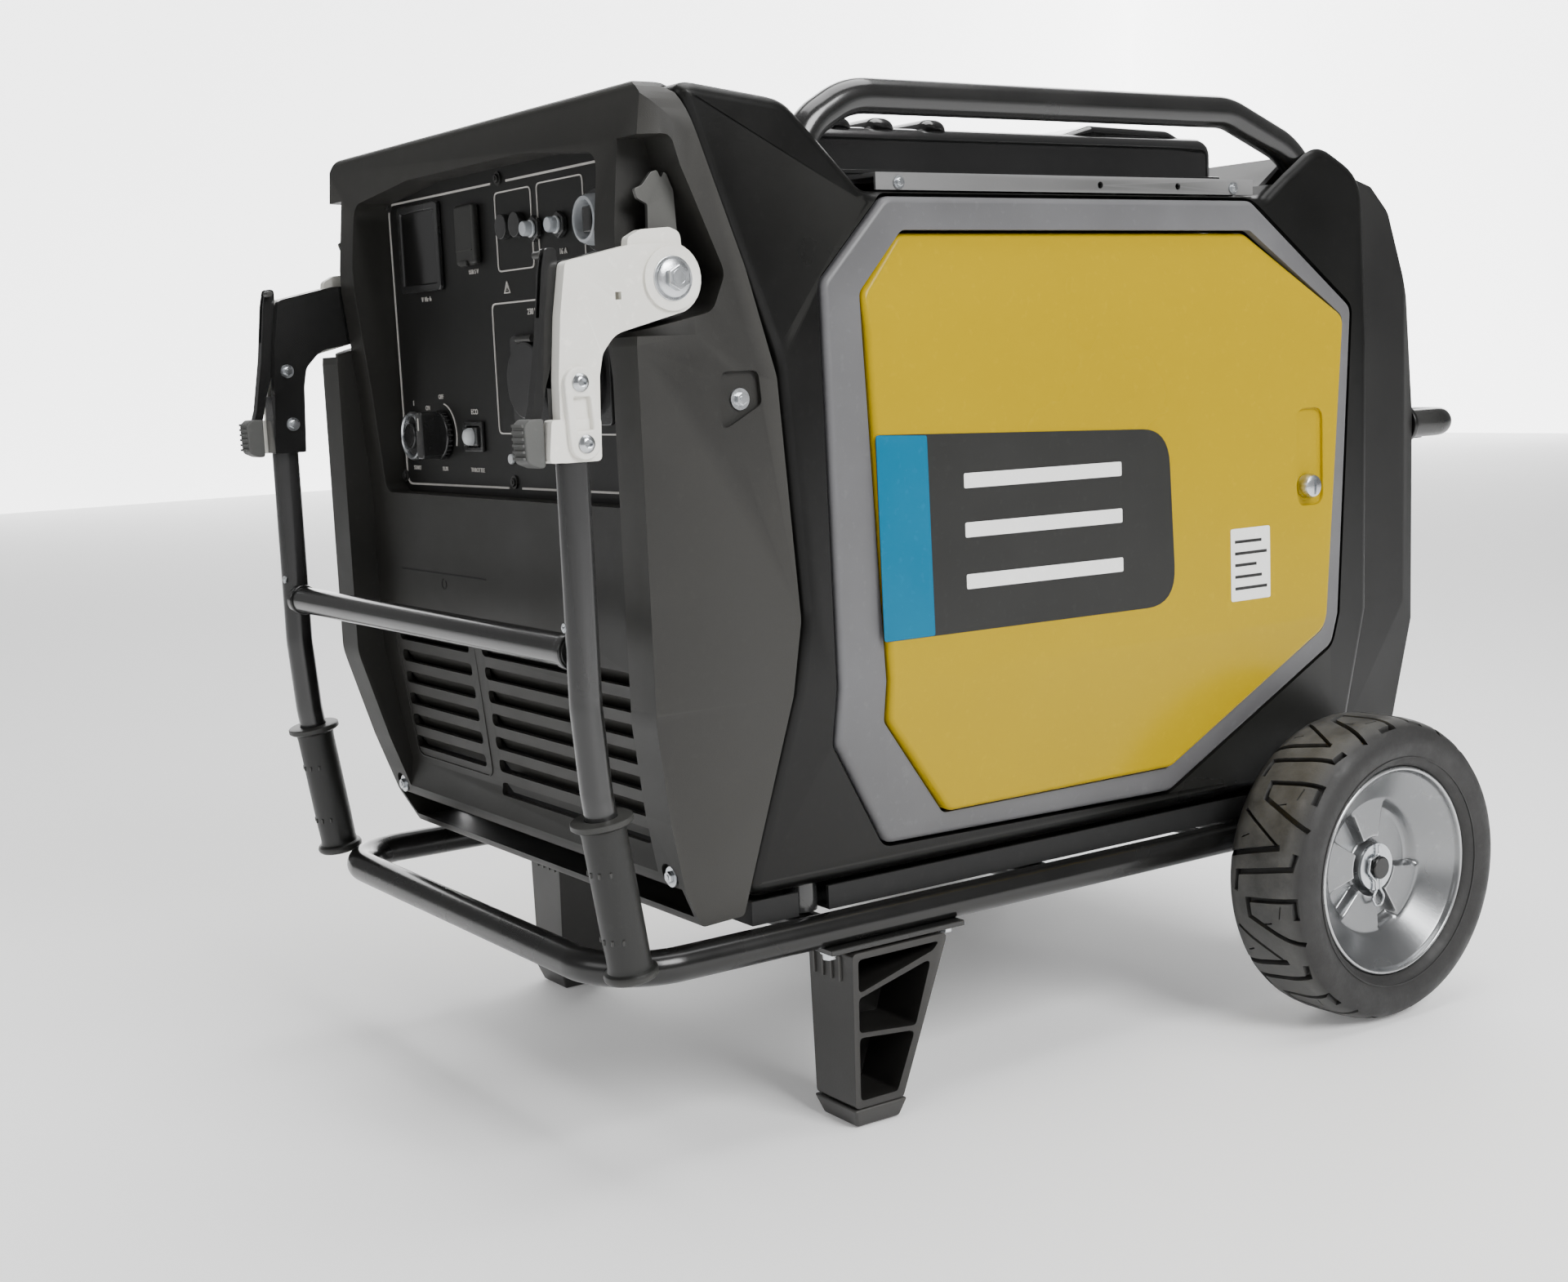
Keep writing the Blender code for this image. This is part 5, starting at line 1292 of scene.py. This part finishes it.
def build_tyre(side, sign):
    centre = Vector((sign * WHEEL_X[0], WHEEL_Y, WHEEL_R))
    tyre = lathe(TREAD, (0, 0, 0), "x", 192)
    repeats = 8
    for line, width in GROOVES:
        cutters = [groove(line, width, 0.0356 + 2 * math.pi * WHEEL_R * k / repeats) for k in range(repeats)]
        cut(tyre, merge(*cutters))
    bead = lathe([(0.0950, 0.0806), (0.0962, 0.0806), (0.0962, 0.0816), (0.0950, 0.0814)], (0, 0, 0), "x", 120)
    merge(tyre, bead)
    tyre.data.transform(Matrix.Translation(centre) @ Matrix.Diagonal((sign, 1, 1, 1)))
    if sign < 0:
        tyre.data.flip_normals()
    done(tyre, side + "_wheel_tyre", "tyre", side + "_wheel", [side + "_tyre"], smooth=30)


def build_rim(side, sign):
    width = WHEEL_X[1] - WHEEL_X[0]
    centre = (sign * WHEEL_X[0], WHEEL_Y, WHEEL_R)
    edge = 0.0877
    bm = bmesh.new()
    count = 240
    front = [(edge, 0.0722), (0.0872, 0.0745), (0.0862, 0.0756), (0.0850, 0.0757), (0.0840, 0.0748), (0.0832, 0.0730),
             (0.0824, 0.0712)]
    bowl = [(0.0815 - 0.0018 * k, None) for k in range(33)]
    hub = [(0.0222, 0.0442), (0.0205, 0.0450), (0.0198, 0.0465), (0.0194, 0.0525), (0.0186, 0.0533), (0.0098, 0.0533)]
    back = [(0.0098, 0.0020), (0.0190, 0.0020), (0.0190, 0.0200), (0.0550, 0.0260), (0.0780, 0.0140), (edge, 0.0120)]
    profile = front + bowl + hub + back

    def step_up(value, low, high):
        part = min(1.0, max(0.0, (value - low) / (high - low)))
        return part * part * (3 - 2 * part)

    def depth(radius, angle):
        """Cone wall, flat bottom and four fan-shaped pads round the hub."""
        wall = 0.0705 - 0.0175 * min(1.0, (0.0815 - radius) / 0.0245)
        floor = wall - 0.0088 * step_up(0.0570 - radius, 0.0, 0.0080)
        reach = 0.0
        for centre_angle, half in ((97, 22), (172, 24), (250, 28), (327, 26)):
            turn = (math.degrees(angle) - centre_angle + 180) % 360 - 180
            reach = max(reach, step_up(half - abs(turn), -2.5, 2.5))
        reach *= step_up(radius, 0.0225, 0.0255)
        return floor + (wall - floor) * reach

    rings = []
    for step in range(count):
        angle = 2 * math.pi * step / count
        ring = []
        for radius, along in profile:
            if along is None:
                along = depth(radius, angle)
            ring.append(bm.verts.new((centre[0] + sign * along, centre[1] + radius * math.cos(angle),
                                      centre[2] + radius * math.sin(angle))))
        rings.append(ring)
    size = len(profile)
    for step in range(count):
        here, there = rings[step], rings[(step + 1) % count]
        for index in range(size):
            follow = (index + 1) % size
            bm.faces.new((here[index], here[follow], there[follow], there[index]))
    done(from_bm(bm), side + "_wheel_rim", "rim", side + "_wheel", [side + "_rim"], smooth=48)


def build_wheels():
    for side, sign in SIDES:
        build_tyre(side, sign)
        build_rim(side, sign)
        washer = lathe([(0.0099, 0.3206), (0.0200, 0.3206), (0.0202, 0.3214), (0.0198, 0.3230), (0.0099, 0.3234)],
                       (0.0, WHEEL_Y, WHEEL_R), "x", 72, sign)
        done(washer, side + "_wheel_washer", "zinc", side + "_wheel")
        wire = ((0.0, 0.0190), (0.0, 0.0110), (-0.0110, 0.0085), (-0.0130, -0.0020), (-0.0040, -0.0115),
                (-0.0035, -0.0190), (-0.0085, -0.0250), (-0.0045, -0.0320), (0.0030, -0.0320), (0.0060, -0.0250),
                (0.0012, -0.0180), (0.0012, -0.0100))
        clip = tube([(sign * 0.3256, WHEEL_Y + a, WHEEL_R + b) for a, b in wire], 0.0011, bends=0.003, sides=4, steps=6)
        done(clip, side + "_axle_clip", "zinc", "chassis", smooth=60)


# ---------------------------------------------------------------- top and rear
def build_top():
    tank = box((-0.222, -0.222, 0.600), (0.222, 0.192, 0.7325))
    soften(tank, 0.014, 6)
    crown = prism("x", rounded([(0.025, 0.700), (0.025, 0.7300), (0.066, 0.7405), (0.150, 0.7385), (0.184, 0.7240),
                                (0.184, 0.700)], [0, 0.01, 0.012, 0.02, 0.012, 0], 5), -0.212, 0.212)
    soften(crown, 0.006, 4, 25)
    neck = lathe([(0.00001, 0.715), (0.045, 0.715), (0.042, 0.734), (0.037, 0.7365), (0.036, 0.7385), (0.00001, 0.7385)],
                 (0.0, -0.06, 0.0), "z", 72)
    ribs = []
    for sign in (-1, 1):
        for y in (-0.182, -0.143, -0.0945):
            rib = box((min(sign * 0.145, sign * 0.217), y - 0.0125, 0.715), (max(sign * 0.145, sign * 0.217), y + 0.0125, 0.7400))
            ribs.append(soften(rib, 0.0095, 5))
    weld = box((-0.2245, -0.2240, 0.6975), (0.2245, 0.1935, 0.7010))
    join(tank, crown, neck, *ribs)
    soften(tank, 0.0022, 3, 25)
    done(merge(tank, soften(weld, 0.0014, 3)), "tank_shell", "tank", "chassis", ["fuel_tank"], smooth=50)
    cap = lathe([(0.00001, 0.7388), (0.0340, 0.7388), (0.0350, 0.7410), (0.0345, 0.7530), (0.0325, 0.7565), (0.0290, 0.7578),
                 (0.00001, 0.7580)], (0.0, -0.06, 0.0), "z", 96)
    ridges = []
    for step in range(24):
        angle = 2 * math.pi * step / 24
        ridge = cylinder("z", (0.0346 * math.cos(angle), -0.06 + 0.0346 * math.sin(angle)), 0.0013, 0.7420, 0.7520, 10)
        ridges.append(ridge)
    bar = box((-0.030, -0.0640, 0.7560), (0.030, -0.0560, 0.7612))
    done(merge(cap, soften(bar, 0.0018, 3), *ridges), "filler_cap_moulding", "grip", "filler_cap", ["fuel_cap"],
         smooth=45)
    gauge = lathe([(0.00001, 0.7330), (0.0200, 0.7330), (0.0200, 0.7350), (0.0180, 0.7362), (0.00001, 0.7362)],
                  (0.10, -0.06, 0.0), "z", 64)
    done(gauge, "fuel_gauge", "glass", "chassis", edge=0.0004)
    deck = box((-0.2270, -0.2440, 0.6906), (0.2270, 0.250, 0.6936))
    cut(deck, box((-0.2235, -0.2235, 0.68), (0.2235, 0.2135, 0.71)))
    flanges = []
    for sign in (-1, 1):
        wing = side_box(sign, 0.2240, 0.2585, (-0.1850, 0.1950), (0.6925, 0.6955))
        lip = side_box(sign, 0.2562, 0.2585, (-0.1850, 0.1950), (0.6832, 0.6950))
        join(lip, wing)
        for k in range(4):
            cut(lip, side_cylinder(sign, (-0.135 + 0.082 * k, 0.6890), 0.0026, 0.25, 0.27, 20))
        flanges.append(lip)
    front = prism("x", ((-0.342, 0.7465), (-0.264, 0.7370), (-0.2300, 0.6936), (-0.2300, 0.6906), (-0.2660, 0.7335),
                        (-0.342, 0.7435)), -0.2270, 0.2270)
    rear = prism("x", ((0.2350, 0.6936), (0.2680, 0.7180), (0.3240, 0.6990), (0.3240, 0.6960), (0.2680, 0.7145),
                       (0.2380, 0.6906)), -0.2270, 0.2270)
    merge(deck, *flanges, front, rear)
    done(deck, "top_deck_sheet", "deck", "chassis", ["top_deck"], edge=0.0006, segments=2)
    for side, sign in SIDES:
        for index, y in enumerate((-0.165, 0.172)):
            bolt = hex_bolt("x", (sign * 0.2585, y, 0.6885), sign, 0.0034, 0.0048, 0.0030)
            done(bolt, "%s_deck_bolt_%d" % (side, index + 1), "zinc", "chassis")


def build_rear():
    outline = rounded([(0.3275, 0.700), (0.352, 0.693), (0.374, 0.672), (0.400, 0.600), (0.4115, 0.500),
                       (0.4075, 0.225), (0.396, 0.186), (0.3275, 0.186)],
                      [0.003, 0.01, 0.02, 0.05, 0.05, 0.03, 0.01, 0.003], 5)
    shell = prism("x", outline, -0.2465, 0.2465)
    plan = rounded([(-0.2465, 0.30), (-0.2465, 0.394), (-0.231, 0.45), (0.231, 0.45), (0.2465, 0.394), (0.2465, 0.30)],
                   [0, 0.012, 0, 0, 0.012, 0], 4)
    common(shell, prism("z", plan, 0.1, 0.8))
    common(shell, flank_block(-0.0200, 0.20, 0.45))
    hollow = box((-0.242, 0.30, 0.190), (0.242, 0.385, 0.60))
    common(hollow, flank_block(-0.0245, 0.20, 0.45))
    cut(shell, hollow)
    grille = rounded([(-0.180, 0.525), (0.040, 0.525), (0.040, 0.640), (-0.180, 0.640)], 0.012, 5)
    cut(shell, prism("y", grille, 0.4045, 0.45))
    for row in range(5):
        z = 0.5400 + 0.0195 * row
        slot = rounded([(-0.168, z - 0.0045), (0.028, z - 0.0045), (0.028, z + 0.0045), (-0.168, z + 0.0045)], 0.0043, 4)
        cut(shell, prism("y", slot, 0.36, 0.45))
    cut(shell, cylinder("y", (-0.13, 0.30), 0.027, 0.35, 0.45, 56))
    soften(shell, 0.0030, 3, 30)
    rib_line = [box((0.075, 0.4060, 0.250 + 0.018 * k), (0.205, 0.4135, 0.2535 + 0.018 * k)) for k in range(10)]
    ribs = merge(*rib_line)
    soften(ribs, 0.0012, 2)
    done(merge(shell, ribs), "rear_cover_shell", "rear", "chassis", ["rear_cover"], smooth=35)
    for index, (x, z) in enumerate(((-0.222, 0.640), (0.222, 0.640), (-0.205, 0.230), (0.205, 0.230))):
        y = 0.3860 if z > 0.5 else 0.4060
        bolt = hex_bolt("y", (x, y, z), 1, 0.0048, 0.0072, 0.0042)
        done(bolt, "rear_cover_bolt_%d" % (index + 1), "zinc", "chassis")
    z = 0.488
    bar = tube([(-0.228, 0.4165, z), (-0.228, 0.4765, z), (0.228, 0.4765, z), (0.228, 0.4165, z)], TUBE_R, bends=0.020,
               steps=12)
    flanges = []
    for sign in (-1, 1):
        flanges.append(soften(cylinder("y", (sign * 0.228, z), 0.0170, 0.4125, 0.4175, 56), 0.001, 2))
    plate = box((-0.214, 0.4150, 0.4735), (0.214, 0.4600, 0.4755))
    done(merge(bar, soften(plate, 0.0006, 2), *flanges), "rear_grab_bar", "frame", "chassis", ["rear_handle"],
         smooth=50)
    for index, (sx, dz) in enumerate(((-1, 0.016), (1, 0.016), (-1, -0.016), (1, -0.016))):
        bolt = hex_bolt("y", (sx * 0.213, 0.4172, z + dz * 0.5), 1, 0.0032, 0.0044, 0.0034)
        done(bolt, "grab_bar_bolt_%d" % (index + 1), "zinc", "chassis")


build_control_panel()
build_display()
build_panel_sockets()
build_outlets()
build_switches()
build_breakers()
build_cover_details()
build_shrouds()
build_seals()
build_doors()
build_brackets()
build_lock_plates()
build_levers()
build_handle_tubes()
build_wheels()
build_top()
build_rear()

paint_node("base_tray", "dark", 0.0008)
for node, finish_name in (("engine_block", "alloy"), ("alternator_stator", "alloy"), ("flywheel_rotor", "steel"),
                          ("muffler", "steel"), ("air_cleaner", "button"), ("battery", "button"),
                          ("inverter_unit", "alloy")):
    paint_node(node, finish_name)

# ---------------------------------------------------------------- floor and light
def build_stage():
    bm = bmesh.new()
    bmesh.ops.create_grid(bm, x_segments=1, y_segments=1, size=14.0)
    floor = from_bm(bm)
    floor.name = "studio_floor"
    mat, tree, shader = nodes_of("studio_paper")
    colour = blend_colour(tree, noise(tree, 0.8, 2.0), (0.93, 0.93, 0.93), (0.95, 0.95, 0.95), 0.3, 0.7)
    tree.links.new(colour, shader.inputs["Base Color"])
    tree.links.new(colour, shader.inputs["Emission Color"])
    shader.inputs["Emission Strength"].default_value = 0.16
    shader.inputs["Roughness"].default_value = 0.75
    floor.data.materials.append(mat)
    world = bpy.data.worlds.new("studio")
    world.use_nodes = True
    world.node_tree.nodes["Background"].inputs["Color"].default_value = (1.0, 1.0, 1.0, 1.0)
    world.node_tree.nodes["Background"].inputs["Strength"].default_value = 0.26
    bpy.context.scene.world = world
    screen = prism("z", [(-9.0, 0.0), (-9.0, 9.0), (-4.6, 9.0), (-4.6, 8.9), (-8.9, 8.9), (-8.9, 0.0)], -0.5, 9.0)
    screen.name = "studio_screen"
    paper, tree, shader = nodes_of("studio_screen_paper")
    tone = blend_colour(tree, noise(tree, 0.6, 2.0), (0.96, 0.96, 0.96), (1.0, 1.0, 1.0), 0.3, 0.7)
    tree.links.new(tone, shader.inputs["Base Color"])
    tree.links.new(tone, shader.inputs["Emission Color"])
    shader.inputs["Emission Strength"].default_value = 3.2
    shader.inputs["Roughness"].default_value = 0.9
    screen.data.materials.append(paper)
    for name, spot, aim, size, power in (
            ("key", (2.9, 0.1, 2.3), (0.0, 0.0, 0.35), (1.5, 1.5), 135.0),
            ("front", (0.2, -3.6, 1.9), (0.0, -0.3, 0.40), (2.2, 1.2), 24.0),
            ("top", (0.0, 0.3, 3.2), (0.0, 0.0, 0.4), (2.4, 2.4), 95.0)):
        data = bpy.data.lights.new(name, 'AREA')
        data.shape = 'RECTANGLE'
        data.size, data.size_y = size
        data.energy = power
        lamp = bpy.data.objects.new(name, data)
        bpy.context.scene.collection.objects.link(lamp)
        lamp.location = spot
        lamp.rotation_euler = (Vector(aim) - Vector(spot)).to_track_quat('-Z', 'Y').to_euler()


build_stage()
